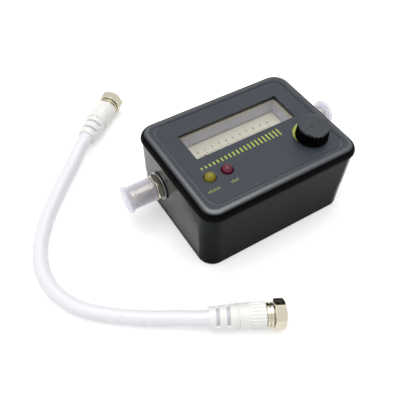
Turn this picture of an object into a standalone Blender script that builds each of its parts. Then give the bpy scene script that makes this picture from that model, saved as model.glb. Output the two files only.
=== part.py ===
"""Satellite signal meter: a small case with a pointer meter and two F sockets, and its jumper lead.

Metres, +Z up. The origin is the middle of the case's underside, +X points to the right-hand socket
and +Y to the back edge. Every length is a named value; places follow from them.
"""

import math

import bmesh
import bpy
from mathutils import Matrix, Vector

# Clearances and mesh steps
CLEAR = 0.0003
OVERRUN = 0.0010
WELD = 0.000001
ROUND_SIDES = 24
SMALL_SIDES = 12
LAMP_SIDES = 16
LEG_SIDES = 8
CORNER_STEPS = 5
SMOOTH_ANGLE = math.radians(35)

# Case: a lid with a skirt on a deep, slightly tapered tray
CASE_LENGTH = 0.0800
CASE_DEPTH = 0.0610
CASE_HEIGHT = 0.0370
CASE_CORNER = 0.0078
CASE_WALL = 0.0018
CASE_FLOOR = 0.0020
LID_PLATE = 0.0020
LID_SKIRT = 0.0038
LID_OVERHANG = 0.00065
LID_EDGE_ACROSS = 0.0046
LID_EDGE_DROP = 0.0036
LID_EDGE_STEPS = 5
LIP_DROP = 0.0022
LIP_WALL = 0.0012
TRAY_TAPER = 0.00075
TRAY_STEP = 0.00035
TRAY_STEP_BELOW_SOCKET = 0.0036
TRAY_FOOT_EDGE = 0.0008
GROOVE_INSET_X = 0.0058
GROOVE_INSET_Y = 0.0053
GROOVE_CORNER = 0.0045
GROOVE_WIDTH = 0.0006
GROOVE_DEPTH = 0.0005

# Case screws, each in a counterbore under the tray and a column under the lid
COLUMN_INSET_X = 0.0074
COLUMN_INSET_Y = 0.0073
COLUMN_RADIUS = 0.0028
COLUMN_ROOT = 0.0005
PAD_RADIUS = 0.0042
PAD_HEIGHT = 0.0026
SCREW_HEAD_RADIUS = 0.0026
SCREW_HEAD_HEIGHT = 0.0016
SCREW_SINK = 0.0006
SCREW_SHANK_RADIUS = 0.0014
SCREW_SHANK_LENGTH = 0.0090
SCREW_SLOT_WIDTH = 0.0007
SCREW_SLOT_DEPTH = 0.0006

# Meter: window in the lid, and below it a T-shaped tub with the scale and the movement
WINDOW_LENGTH = 0.0524
WINDOW_DEPTH = 0.0161
WINDOW_RIM = 0.0010
METER_WALL = 0.0013
METER_FLOOR = 0.0012
METER_FRONT = 0.0010
LENS_THICKNESS = 0.0010
SCALE_DEPTH = 0.0097
SCALE_THICKNESS = 0.0005
PIVOT_SETBACK = 0.0085
MOVEMENT_REACH = 0.0085
MOVEMENT_HALF = 0.0100
YOKE_RADIUS = 0.0080
YOKE_BORE = 0.0056
CORE_RADIUS = 0.0036
CORE_ARM = 0.0016
CORE_ARM_INSET = 0.0004
YOKE_STANDS_OUT = 0.0003
COIL_BUNDLE = 0.0006
COIL_DEPTH = 0.0014
STAFF_RADIUS = 0.0004
SPRING_WIRE = 0.00012
SPRING_TURNS = 3
SPRING_POINTS_PER_TURN = 10
SPRING_REACH = 0.0032
BRIDGE_THICKNESS = 0.00065
BRIDGE_WIDTH = 0.0030
BRIDGE_LEG = 0.0010
HUB_RADIUS = 0.0015
HUB_THICKNESS = 0.00035
POINTER_THICKNESS = 0.00025
POINTER_WIDTH = 0.0008
POINTER_TIP_WIDTH = 0.0005
POINTER_TIP_CLEARANCE = 0.0008
POINTER_LIFT = 0.0008
CRANK_CLEARANCE = 0.0012
CRANK_RUN = 0.0012
TAIL_LENGTH = 0.0040
TAIL_WIDTH = 0.0024
TAIL_WEIGHT = 0.0014
POINTER_REST_ANGLE = math.radians(48)

# Level control: potentiometer under the lid, knob on top
KNOB_PLACE_SHARES = (0.60, -0.459)
KNOB_LIFT = 0.0005
KNOB_HEIGHT = 0.0068
KNOB_TOP_RADIUS = 0.0069
KNOB_BASE_RADIUS = 0.0073
KNOB_EDGE = 0.0004
KNOB_ROOF = 0.0012
KNOB_WALL = 0.0011
KNOB_SOCKET_WALL = 0.0011
KNOB_FLUTES = 24
KNOB_FLUTE_DEPTH = 0.00028
KNOB_MARK_WIDTH = 0.0008
KNOB_MARK_DEPTH = 0.0005
KNOB_MARK_START = 0.0010
KNOB_MARK_ANGLE = math.radians(196.6)
SHAFT_RADIUS = 0.0030
SHAFT_NECK_RADIUS = 0.0025
BUSHING_RADIUS = 0.0035
BUSHING_ABOVE_LID = 0.0027
PANEL_NUT_FLATS = 0.0095
PANEL_NUT_THICKNESS = 0.0018
POT_RADIUS = 0.0078
POT_PLATE = 0.0010
POT_CAN_HEIGHT = 0.0057
POT_CAN_WALL = 0.0005
WAFER_THICKNESS = 0.0010
ROTOR_THICKNESS = 0.0008
TAB_PITCH = 0.0035
TAB_WIDTH = 0.0012
TAB_THICKNESS = 0.0005
TAB_REACH = 0.0012
TAB_SINK = 0.0022

# Indicator lamps
LAMP_LEFT_SHARE = -0.675
LAMP_RIGHT_SHARE = -0.4625
LAMP_FRONT_SHARE = -0.3705
LAMP_RADIUS = 0.0025
LAMP_FLANGE = 0.0029
LAMP_FLANGE_HEIGHT = 0.0010
LAMP_HEIGHT = 0.0086
LAMP_ABOVE_LID = 0.0023
LAMP_LEG_RADIUS = 0.0003
LAMP_LEG_PITCH = 0.00254
LAMP_DOME_STEPS = 4

# F sockets, one on each end wall
SOCKET_Y = 0.0097
SOCKET_BELOW_RIM = 0.0149
THREAD_RADIUS = 0.00465
BARREL_LENGTH = 0.0150
BARREL_CHAMFER = 0.0005
BARREL_WALL = 0.0014
BARREL_BORE_DEPTH = 0.0100
SOCKET_FLANGE_RADIUS = 0.0062
SOCKET_FLANGE = 0.0018
SOCKET_REAR_RADIUS = 0.0042
SOCKET_REAR = 0.0014
REAR_HOLE_RADIUS = 0.0012
CONTACT_RADIUS = 0.0009
CONTACT_BORE = 0.0005
CONTACT_BORE_DEPTH = 0.0050
CONTACT_SET_BACK = 0.0008
CONTACT_PIN = 0.00045
CONTACT_REACH = 0.0042
WASHER_RADIUS = 0.0066
WASHER_THICKNESS = 0.0006
SOCKET_NUT_FLATS = 0.0111
SOCKET_NUT_THICKNESS = 0.0024
NUT_CHAMFER = 0.0005
CAP_WALL = 0.0004
CAP_END_WALL = 0.0012
CAP_AIR = 0.0008
CAP_DISC_RADIUS = 0.0062
CAP_DISC = 0.0016

# Circuit board and what stands on it
BOARD_MARGIN = 0.0009
BOARD_CORNER = 0.0010
BOARD_THICKNESS = 0.0016
CHIP_LENGTH = 0.0087
CHIP_WIDTH = 0.0039
CHIP_HEIGHT = 0.0016
CHIP_LEG_COUNT = 7
CHIP_LEG_PITCH = 0.00115
CHIP_LEG_WIDTH = 0.0005
CHIP_LEG_REACH = 0.0009
CHIP_LEG_THICKNESS = 0.0004
CAPACITOR_RADIUS = 0.0025
CAPACITOR_HEIGHT = 0.0046
CAPACITOR_NECK = 0.0002
CAPACITOR_FOOT = 0.0010
PACKAGE_LIFT = 0.0001
NETWORK_LENGTH = 0.0086
NETWORK_WIDTH = 0.0024
NETWORK_HEIGHT = 0.0012
TRANSISTOR_LENGTH = 0.0029
TRANSISTOR_WIDTH = 0.0016
TRANSISTOR_HEIGHT = 0.0011
TRANSISTOR_LEG_COUNT = 2
TRANSISTOR_LEG_PITCH = 0.0019
CHOKE_RADIUS = 0.0018
CHOKE_LENGTH = 0.0080
CHOKE_END = 0.0010
CHOKE_WIND = 0.0004
BUZZER_RADIUS = 0.0060
BUZZER_HEIGHT = 0.0068
BUZZER_VENT = 0.0011
BUZZER_VENT_DEPTH = 0.0010
SOUND_HOLE_RADIUS = 0.0008
SOUND_HOLE_RING = 0.0028
SOUND_HOLES = 6
CHIP_PLACE_SHARES = (0.0, 0.10)
CAPACITOR_PLACE_SHARES = ((-0.40, 0.10), (0.40, 0.10))
TRANSISTOR_PLACE_SHARES = ((-0.26, -0.25), (0.26, -0.25))
NETWORK_PLACE_SHARES = (0.0, -0.40)
CHOKE_PLACE_SHARE = 0.66
BUZZER_PLACE_SHARES = (0.22, -0.20)

# Hook-up wires inside the case
WIRE_RADIUS = 0.0005
METER_WIRE_X = 0.0055
WIRE_BOARD_INSET = 0.0018
WIRE_STEPS = 6
WIRE_DROP_SHARE = 0.33

# Jumper lead: a coaxial cable with a moulded plug at each end, lying on the table
CABLE_RADIUS = 0.00345
CABLE_POINT_PITCH = 0.0055
PLUG_HEIGHT = 0.0064
NEAR_PLUG_X = -0.0521
NEAR_PLUG_Y = -0.0514
NEAR_PLUG_ANGLE = math.radians(-27.7)
NEAR_NUT_ROLL = math.radians(25)
FAR_PLUG_X = -0.05088
FAR_PLUG_Y = 0.06581
FAR_PLUG_ANGLE = math.radians(38.4)
FAR_NUT_ROLL = math.radians(-6)
BOOT_SIDES = 28
BOOT_TAIL_RADIUS = 0.00465
BOOT_GRIP_RADIUS = 0.0056
BOOT_EDGE = 0.0004
BOOT_TAIL_RING = 0.00285
BOOT_SLOT = 0.0015
BOOT_SLOT_DEPTH = 0.0011
BOOT_MID_RING = 0.0027
BOOT_FRONT_RING = 0.0021
BOOT_RIB = 0.0009
BOOT_RIB_SLOT = 0.0003
BOOT_CONE = 0.00365
BOOT_GRIP = 0.0070
BOOT_FLUTE_DEPTH = 0.00035
FERRULE_TAIL_RADIUS = 0.0040
FERRULE_TAIL = 0.0050
FERRULE_RADIUS = 0.0050
FERRULE_RING = 0.0011
FERRULE_GROOVE = 0.00045
FERRULE_GROOVE_DEPTH = 0.0006
FERRULE_NECK_RADIUS = 0.0033
FERRULE_COLLAR_RADIUS = 0.0043
FERRULE_COLLAR = 0.0010
FERRULE_BORE = 0.0021
FERRULE_BORE_DEPTH = 0.0028
PLUG_NUT_FLATS = 0.0110
PLUG_NUT_LENGTH = 0.0048
PLUG_NUT_END_WALL = 0.0012
PLUG_NUT_BORE = 0.0047
PLUG_PIN_RADIUS = 0.0005
PLUG_PIN_PROUD = 0.0014

# The cable's route between its plugs: points on its centre line, near plug first
CABLE_ROUTE = (
    (-0.0552, -0.0497, 0.0063),
    (-0.0611, -0.0454, 0.0054),
    (-0.0705, -0.0392, 0.0043),
    (-0.0793, -0.0327, 0.0037),
    (-0.0875, -0.0259, 0.0035),
    (-0.0937, -0.0192, 0.0035),
    (-0.0980, -0.0110, 0.0035),
    (-0.0999, -0.0020, 0.0035),
    (-0.0992, 0.0070, 0.0035),
    (-0.0963, 0.0158, 0.0035),
    (-0.0915, 0.0243, 0.0035),
    (-0.0855, 0.0324, 0.0035),
    (-0.0786, 0.0400, 0.0036),
    (-0.0717, 0.0470, 0.0039),
    (-0.0645, 0.0537, 0.0045),
    (-0.0574, 0.0605, 0.0058),
    (-0.0536, 0.0636, 0.0063),
)

# Places that follow from the sizes above
LID_HALF_X = CASE_LENGTH / 2
LID_HALF_Y = CASE_DEPTH / 2
KNOB_X = LID_HALF_X * KNOB_PLACE_SHARES[0]
KNOB_Y = LID_HALF_Y * KNOB_PLACE_SHARES[1]
LAMP_LEFT_X = LID_HALF_X * LAMP_LEFT_SHARE
LAMP_RIGHT_X = LID_HALF_X * LAMP_RIGHT_SHARE
LAMP_Y = LID_HALF_Y * LAMP_FRONT_SHARE
LID_UNDERSIDE = CASE_HEIGHT - LID_PLATE
PARTING = CASE_HEIGHT - LID_SKIRT
TRAY_TOP = PARTING - CLEAR
SOCKET_Z = PARTING - SOCKET_BELOW_RIM
TRAY_STEP_HEIGHT = SOCKET_Z - TRAY_STEP_BELOW_SOCKET
COLUMN_X = LID_HALF_X - COLUMN_INSET_X
COLUMN_Y = LID_HALF_Y - COLUMN_INSET_Y
PAD_TOP = CASE_FLOOR + PAD_HEIGHT
COLUMN_FOOT = PAD_TOP + CLEAR
SCREW_HEAD_TOP = SCREW_SINK + SCREW_HEAD_HEIGHT
COUNTERBORE_TOP = SCREW_HEAD_TOP + CLEAR

POCKET_CEILING = CASE_HEIGHT - WINDOW_RIM
LENS_TOP = POCKET_CEILING - CLEAR
LENS_BOTTOM = LENS_TOP - LENS_THICKNESS
TUB_TOP = LENS_BOTTOM - CLEAR
SCALE_TOP = CASE_HEIGHT - SCALE_DEPTH
SCALE_BOTTOM = SCALE_TOP - SCALE_THICKNESS
TUB_FLOOR = SCALE_BOTTOM - CLEAR
TUB_BOTTOM = TUB_FLOOR - METER_FLOOR
SPRING_MID = TUB_FLOOR + CLEAR + SPRING_WIRE
COIL_BOTTOM = SPRING_MID + SPRING_WIRE + CLEAR
BRIDGE_TOP = TUB_TOP - CLEAR
BRIDGE_BOTTOM = BRIDGE_TOP - BRIDGE_THICKNESS
HUB_TOP = BRIDGE_BOTTOM - CLEAR
HUB_BOTTOM = HUB_TOP - HUB_THICKNESS
COIL_TOP = HUB_BOTTOM - CLEAR
CORE_BOTTOM = COIL_BOTTOM + COIL_BUNDLE + CLEAR
CORE_TOP = COIL_TOP - COIL_BUNDLE - CLEAR
POINTER_LENGTH = WINDOW_DEPTH + PIVOT_SETBACK - POINTER_TIP_CLEARANCE

KNOB_BOTTOM = CASE_HEIGHT + KNOB_LIFT
KNOB_TOP = KNOB_BOTTOM + KNOB_HEIGHT
KNOB_CEILING = KNOB_TOP - KNOB_ROOF
BUSHING_TOP = CASE_HEIGHT + BUSHING_ABOVE_LID
POT_TOP = LID_UNDERSIDE - CLEAR
CAN_TOP = POT_TOP - POT_PLATE - CLEAR
CAN_BOTTOM = CAN_TOP - POT_CAN_HEIGHT
WAFER_BOTTOM = CAN_BOTTOM + POT_CAN_WALL + CLEAR
WAFER_TOP = WAFER_BOTTOM + WAFER_THICKNESS
ROTOR_BOTTOM = WAFER_TOP + CLEAR
ROTOR_TOP = ROTOR_BOTTOM + ROTOR_THICKNESS
WAFER_RADIUS = POT_RADIUS - POT_CAN_WALL - CLEAR
TAB_START = WAFER_RADIUS - TAB_SINK
TAB_END = POT_RADIUS + TAB_REACH

BOARD_TOP = SOCKET_Z - CONTACT_PIN - CLEAR
BOARD_BOTTOM = BOARD_TOP - BOARD_THICKNESS
BOARD_HALF_Y = COLUMN_Y - COLUMN_RADIUS - BOARD_MARGIN
PARTS_FOOT = BOARD_TOP + CLEAR
LAMP_TOP = CASE_HEIGHT + LAMP_ABOVE_LID
LAMP_BOTTOM = LAMP_TOP - LAMP_HEIGHT

BOOT_LENGTH = (
    BOOT_TAIL_RING + 2 * BOOT_SLOT + BOOT_MID_RING + BOOT_FRONT_RING + BOOT_RIB + 2 * BOOT_RIB_SLOT
    + BOOT_CONE + BOOT_GRIP
)
FERRULE_START = BOOT_LENGTH + CLEAR
FERRULE_FRONT = FERRULE_START + 2 * FERRULE_RING + FERRULE_GROOVE
PLUG_NUT_START = FERRULE_FRONT + CLEAR
PLUG_NUT_FRONT = PLUG_NUT_START + PLUG_NUT_LENGTH
FERRULE_COLLAR_START = PLUG_NUT_START + PLUG_NUT_END_WALL + CLEAR
FERRULE_TIP = FERRULE_COLLAR_START + FERRULE_COLLAR

# Colour (sRGB hex), roughness, metallic
FINISHES = {
    "black_abs": ("2b2d31", 0.38, 0.0),
    "knob_plastic": ("1d1e20", 0.45, 0.0),
    "clear_plastic": ("e9ecee", 0.08, 0.0),
    "milky_plastic": ("d9d9e6", 0.35, 0.0),
    "cream_plastic": ("d6d4c6", 0.55, 0.0),
    "scale_card": ("dcdac2", 0.70, 0.0),
    "pointer_red": ("c2392b", 0.50, 0.0),
    "yellow_lens": ("b5b52a", 0.15, 0.0),
    "red_lens": ("7a1a30", 0.15, 0.0),
    "nickel": ("cfc8b4", 0.22, 1.0),
    "zinc": ("a9abad", 0.40, 1.0),
    "magnet": ("4a4a4c", 0.45, 1.0),
    "copper": ("b87345", 0.35, 1.0),
    "brass": ("c2a25a", 0.30, 1.0),
    "board_green": ("2f6b3c", 0.45, 0.0),
    "component_black": ("202022", 0.50, 0.0),
    "component_silver": ("b9bcc0", 0.35, 1.0),
    "phenolic": ("7a5430", 0.60, 0.0),
    "white_plastic": ("f1f1f0", 0.40, 0.0),
    "white_pvc": ("f4f4f4", 0.42, 0.0),
    "wire_red": ("b3261e", 0.50, 0.0),
    "wire_grey": ("77797c", 0.50, 0.0),
}


def clear_scene():
    """Empties the scene."""
    for obj in list(bpy.data.objects):
        bpy.data.objects.remove(obj, do_unlink=True)


def linear(channel):
    """One sRGB channel as a linear value."""
    return channel / 12.92 if channel <= 0.04045 else ((channel + 0.055) / 1.055) ** 2.4


def finish_material(name, finish):
    """A Principled material of one finish."""
    code, roughness, metallic = FINISHES[finish]
    colour = [linear(int(code[i:i + 2], 16) / 255) for i in (0, 2, 4)]
    material = bpy.data.materials.new(f"{name}_{finish}")
    material.use_nodes = True
    shader = material.node_tree.nodes["Principled BSDF"]
    shader.inputs["Base Color"].default_value = (*colour, 1.0)
    shader.inputs["Roughness"].default_value = roughness
    shader.inputs["Metallic"].default_value = metallic
    material.diffuse_color = (*colour, 1.0)
    return material


def place(obj, parent, location, turn):
    """Links an object, puts it under its parent and gives it its place."""
    bpy.context.scene.collection.objects.link(obj)
    obj.parent = parent
    obj.location = location
    obj.rotation_euler = (0, 0, turn)
    return obj


def add_piece(name, shape, finish, parent=None, location=(0, 0, 0), turn=0.0):
    """Makes a named object from a bmesh, smooth where it is round, in its own material."""
    mesh = bpy.data.meshes.new(name)
    shape.to_mesh(mesh)
    shape.free()
    mesh.shade_smooth()
    mesh.set_sharp_from_angle(angle=SMOOTH_ANGLE)
    mesh.materials.append(finish_material(name, finish))
    return place(bpy.data.objects.new(name, mesh), parent, location, turn)


def add_copy(name, original, parent, finish):
    """Another object with the same mesh, under another parent."""
    mesh = original.data.copy()
    mesh.name = name
    mesh.materials.clear()
    mesh.materials.append(finish_material(name, finish))
    copy = place(bpy.data.objects.new(name, mesh), parent, original.location, original.rotation_euler.z)
    for modifier in original.modifiers:
        combine(copy, modifier.object, modifier.operation)
    return copy


def add_axis(name, location, turn=0.0):
    """An empty that carries pieces; its place is the joint's axis or the fitting's seat."""
    return place(bpy.data.objects.new(name, None), None, location, turn)


def add_helper(name, shape, parent=None):
    """A mesh that only cuts or joins other pieces."""
    mesh = bpy.data.meshes.new(name)
    shape.to_mesh(mesh)
    shape.free()
    helper = place(bpy.data.objects.new(name, mesh), parent, (0, 0, 0), 0.0)
    helper.hide_render = True
    helper.display_type = "WIRE"
    return helper


def combine(obj, helper, operation):
    """Cuts a helper out of an object, or joins it on."""
    modifier = obj.modifiers.new(helper.name, "BOOLEAN")
    modifier.operation = operation
    modifier.solver = "EXACT"
    modifier.object = helper


def ring(points, height):
    """Plan points at one height."""
    return [Vector((x, y, height)) for x, y in points]


def rounded_rectangle(half_x, half_y, radius):
    """Plan points of a rectangle with round corners, anticlockwise; the radius stays inside the shape."""
    radius = max(min(radius, half_x - CLEAR, half_y - CLEAR), CLEAR)
    points = []
    for corner in range(4):
        centre_x = (half_x - radius) * (1 if corner in (0, 3) else -1)
        centre_y = (half_y - radius) * (1 if corner in (0, 1) else -1)
        for step in range(CORNER_STEPS + 1):
            angle = math.pi / 2 * (corner + step / CORNER_STEPS)
            points.append((centre_x + radius * math.cos(angle), centre_y + radius * math.sin(angle)))
    return points


def rectangle(left, right, front, back):
    """Plan points of a plain rectangle, anticlockwise."""
    return [(left, front), (right, front), (right, back), (left, back)]


def lofted(rings, looped=False):
    """A solid through rings of equal counts: capped at both ends, or joined end to end when looped."""
    shape = bmesh.new()
    loops = [[shape.verts.new(point) for point in points] for points in rings]
    pairs = list(zip(loops, loops[1:]))
    if looped:
        pairs.append((loops[-1], loops[0]))
    for lower, upper in pairs:
        for i in range(len(lower)):
            j = (i + 1) % len(lower)
            shape.faces.new((lower[i], lower[j], upper[j], upper[i]))
    if not looped:
        shape.faces.new(list(reversed(loops[0])))
        shape.faces.new(loops[-1])
    bmesh.ops.recalc_face_normals(shape, faces=shape.faces)
    return shape


def prism(points, bottom, top):
    """Plan points drawn up between two heights."""
    return lofted([ring(points, bottom), ring(points, top)])


def frame(outer, inner, bottom, top):
    """The band between two plan outlines, drawn up between two heights."""
    rings = [ring(outer, bottom), ring(outer, top), ring(inner, top), ring(inner, bottom)]
    return lofted(rings, looped=True)


def turned(section, axis, sides=ROUND_SIDES):
    """A solid turned about a local axis from (along, radius) points.

    A section that starts and ends on the axis is a solid; any other closes on itself as a ring.
    """
    shape = bmesh.new()
    along = Vector((1, 0, 0)) if axis == "X" else Vector((0, 0, 1))
    across = Vector((0, 1, 0)) if axis == "X" else Vector((1, 0, 0))
    verts = [shape.verts.new(along * distance + across * radius) for distance, radius in section]
    edges = [shape.edges.new(pair) for pair in zip(verts, verts[1:])]
    if section[0][1] > 0:
        edges.append(shape.edges.new((verts[-1], verts[0])))
    bmesh.ops.spin(
        shape, geom=verts + edges, cent=(0, 0, 0), axis=along, angle=2 * math.pi, steps=sides, use_merge=True
    )
    bmesh.ops.remove_doubles(shape, verts=shape.verts, dist=WELD)
    bmesh.ops.recalc_face_normals(shape, faces=shape.faces)
    return shape


def cylinder(radius, start, end, axis, sides=ROUND_SIDES):
    """A plain round bar along a local axis."""
    return turned([(start, 0), (start, radius), (end, radius), (end, 0)], axis, sides)


def gathered(pieces):
    """Several shapes in one, kept as separate bodies; each piece is a shape and its place."""
    whole = bmesh.new()
    for shape, location in pieces:
        bmesh.ops.translate(shape, verts=shape.verts, vec=Vector(location))
        mesh = bpy.data.meshes.new("gathered")
        shape.to_mesh(mesh)
        shape.free()
        whole.from_mesh(mesh)
        bpy.data.meshes.remove(mesh)
    return whole


def hexagon_radius(angle, flats):
    """Distance from a hexagon's centre to its edge; the flats face 90 degrees and every 60 from there."""
    from_flat = (angle % (math.pi / 3)) - math.pi / 6
    return flats / 2 / math.cos(from_flat)


def hexagon_nut(flats, bore, start, end, axis, chamfer=NUT_CHAMFER):
    """A hexagon nut with chamfered corners and a round bore, along a local axis."""
    angles = [2 * math.pi * i / ROUND_SIDES for i in range(ROUND_SIDES)]
    outer = [hexagon_radius(angle, flats) for angle in angles]
    eased = [flats / 2 for _ in angles]
    hole = [bore for _ in angles]
    stack = ((start, hole), (start, eased), (start + chamfer, outer), (end - chamfer, outer),
             (end, eased), (end, hole))
    rings = []
    for distance, radii in stack:
        flat = [(radius * math.cos(angle), radius * math.sin(angle)) for radius, angle in zip(radii, angles)]
        if axis == "X":
            rings.append([Vector((distance, u, v)) for u, v in flat])
        else:
            rings.append([Vector((u, v, distance)) for u, v in flat])
    return lofted(rings, looped=True)


def smooth_route(points, pitch):
    """Points at an even pitch along a smooth curve through the route's own points."""
    knots = [Vector(point) for point in points]
    knots = [2 * knots[0] - knots[1]] + knots + [2 * knots[-1] - knots[-2]]
    fine = []
    for before, start, end, after in zip(knots, knots[1:], knots[2:], knots[3:]):
        for step in range(WIRE_STEPS * 2):
            t = step / (WIRE_STEPS * 2)
            fine.append(
                (2 * start + (end - before) * t + (2 * before - 5 * start + 4 * end - after) * t ** 2
                 + (3 * start - before - 3 * end + after) * t ** 3) / 2
            )
    fine.append(knots[-2])
    travelled = [0.0]
    for start, end in zip(fine, fine[1:]):
        travelled.append(travelled[-1] + (end - start).length)
    count = max(round(travelled[-1] / pitch), 1)
    even = []
    for i in range(count + 1):
        wanted = travelled[-1] * i / count
        j = min(max(k for k, done in enumerate(travelled) if done <= wanted), len(fine) - 2)
        share = (wanted - travelled[j]) / (travelled[j + 1] - travelled[j])
        even.append(fine[j].lerp(fine[j + 1], share))
    return even


def add_tube(name, route, radius, finish, resolution, parent=None):
    """A round wire along a route, with filled ends."""
    curve = bpy.data.curves.new(name, "CURVE")
    curve.dimensions = "3D"
    curve.bevel_depth = radius
    curve.bevel_resolution = resolution
    curve.use_fill_caps = True
    spline = curve.splines.new("POLY")
    spline.points.add(len(route) - 1)
    for point, position in zip(spline.points, route):
        point.co = (*position, 1.0)
    curve.materials.append(finish_material(name, finish))
    return place(bpy.data.objects.new(name, curve), parent, (0, 0, 0), 0.0)


def tray_half_x(height):
    """Half length of the tray over its end walls at a height, above the step."""
    return LID_HALF_X - LID_OVERHANG - TRAY_TAPER * (PARTING - height) / PARTING


def tray_half_y(height):
    """Half depth of the tray over its long walls at a height."""
    return LID_HALF_Y - LID_OVERHANG - TRAY_TAPER * (PARTING - height) / PARTING


def tray_ring(height, inset, step=0.0):
    """The tray's outline at a height, drawn in by an inset, with a step on its end walls."""
    half_x = tray_half_x(height) - inset - step
    half_y = tray_half_y(height) - inset
    return ring(rounded_rectangle(half_x, half_y, CASE_CORNER - LID_OVERHANG - inset), height)


def lid_ring(height, inset):
    """The lid's outline at a height, drawn in by an inset."""
    return ring(rounded_rectangle(LID_HALF_X - inset, LID_HALF_Y - inset, CASE_CORNER - inset), height)


def column_places():
    """The plan places of the four case screws."""
    return [(x, y) for x in (-COLUMN_X, COLUMN_X) for y in (-COLUMN_Y, COLUMN_Y)]


def add_lid():
    """The lid: plate, rounded edge, skirt, lip and screw columns, with its holes and its groove."""
    lip_outer = LID_OVERHANG + CASE_WALL + CLEAR
    lip_inner = lip_outer + LIP_WALL
    rings = [
        lid_ring(LID_UNDERSIDE, lip_inner),
        lid_ring(PARTING - LIP_DROP, lip_inner),
        lid_ring(PARTING - LIP_DROP, lip_outer),
        lid_ring(PARTING, lip_outer),
        lid_ring(PARTING, 0),
    ]
    for step in range(LID_EDGE_STEPS + 1):
        angle = math.pi / 2 * step / LID_EDGE_STEPS
        rings.append(
            lid_ring(CASE_HEIGHT - LID_EDGE_DROP * (1 - math.sin(angle)), LID_EDGE_ACROSS * (1 - math.cos(angle)))
        )
    lid = add_piece("case_lid", lofted(rings), "black_abs")
    columns = [
        (cylinder(COLUMN_RADIUS, COLUMN_FOOT, LID_UNDERSIDE + COLUMN_ROOT, "Z", SMALL_SIDES), (x, y, 0))
        for x, y in column_places()
    ]
    combine(lid, add_helper("lid_columns", gathered(columns)), "UNION")

    above = CASE_HEIGHT + OVERRUN
    below = LID_UNDERSIDE - OVERRUN
    half_window = WINDOW_LENGTH / 2
    groove_outer = rounded_rectangle(
        LID_HALF_X - GROOVE_INSET_X + GROOVE_WIDTH / 2,
        LID_HALF_Y - GROOVE_INSET_Y + GROOVE_WIDTH / 2,
        GROOVE_CORNER + GROOVE_WIDTH / 2,
    )
    groove_inner = rounded_rectangle(
        LID_HALF_X - GROOVE_INSET_X - GROOVE_WIDTH / 2,
        LID_HALF_Y - GROOVE_INSET_Y - GROOVE_WIDTH / 2,
        GROOVE_CORNER - GROOVE_WIDTH / 2,
    )
    groove = frame(groove_outer, groove_inner, CASE_HEIGHT - GROOVE_DEPTH, above)
    combine(lid, add_helper("lid_groove", groove), "DIFFERENCE")
    pocket = prism(tub_outline(METER_WALL + CLEAR), below, POCKET_CEILING)
    combine(lid, add_helper("lid_pocket", pocket), "DIFFERENCE")
    cuts = [
        (prism(rectangle(-half_window, half_window, 0, WINDOW_DEPTH), below, above), (0, 0, 0)),
        (cylinder(BUSHING_RADIUS + CLEAR, below, above, "Z"), (KNOB_X, KNOB_Y, 0)),
    ]
    for x in (LAMP_LEFT_X, LAMP_RIGHT_X):
        cuts.append((cylinder(LAMP_RADIUS + CLEAR, below, above, "Z"), (x, LAMP_Y, 0)))
    screw_tip = SCREW_HEAD_TOP + SCREW_SHANK_LENGTH
    for x, y in column_places():
        pilot = cylinder(
            SCREW_SHANK_RADIUS + CLEAR, COLUMN_FOOT - OVERRUN, screw_tip + OVERRUN, "Z", SMALL_SIDES
        )
        cuts.append((pilot, (x, y, 0)))
    combine(lid, add_helper("lid_cuts", gathered(cuts)), "DIFFERENCE")


def board_point(shares):
    """A place on the board from shares of its half sizes."""
    return board_half_x() * shares[0], BOARD_HALF_Y * shares[1]


def add_tray():
    """The tray: tapered walls, a shallow step on the ends, screw pads, socket holes and sound holes."""
    rings = [
        tray_ring(0, TRAY_FOOT_EDGE, TRAY_STEP),
        tray_ring(TRAY_FOOT_EDGE, 0, TRAY_STEP),
        tray_ring(TRAY_STEP_HEIGHT - TRAY_STEP, 0, TRAY_STEP),
        tray_ring(TRAY_STEP_HEIGHT, 0),
        tray_ring(TRAY_TOP, 0),
        tray_ring(TRAY_TOP, CASE_WALL),
        tray_ring(CASE_FLOOR, CASE_WALL),
    ]
    tray = add_piece("case_tray", lofted(rings), "black_abs")
    pads = [
        (cylinder(PAD_RADIUS, CASE_FLOOR / 2, PAD_TOP, "Z", SMALL_SIDES), (x, y, 0))
        for x, y in column_places()
    ]
    combine(tray, add_helper("tray_pads", gathered(pads)), "UNION")

    cuts = []
    bore = SCREW_SHANK_RADIUS + CLEAR
    head = SCREW_HEAD_RADIUS + CLEAR
    for x, y in column_places():
        section = [
            (-OVERRUN, 0), (-OVERRUN, head), (COUNTERBORE_TOP, head), (COUNTERBORE_TOP, bore),
            (PAD_TOP + OVERRUN, bore), (PAD_TOP + OVERRUN, 0),
        ]
        cuts.append((turned(section, "Z", SMALL_SIDES), (x, y, 0)))
    reach = socket_face() + OVERRUN
    inner = tray_half_x(0) - CASE_WALL - OVERRUN
    for start, end in ((-reach, -inner), (inner, reach)):
        cuts.append((cylinder(THREAD_RADIUS + CLEAR, start, end, "X"), (0, SOCKET_Y, SOCKET_Z)))
    hole_x, hole_y = board_point(BUZZER_PLACE_SHARES)
    for i in range(SOUND_HOLES):
        angle = 2 * math.pi * i / SOUND_HOLES
        hole = cylinder(SOUND_HOLE_RADIUS, -OVERRUN, CASE_FLOOR + OVERRUN, "Z", LEG_SIDES)
        offset = (hole_x + SOUND_HOLE_RING * math.cos(angle), hole_y + SOUND_HOLE_RING * math.sin(angle), 0)
        cuts.append((hole, offset))
    combine(tray, add_helper("tray_cuts", gathered(cuts)), "DIFFERENCE")


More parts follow.
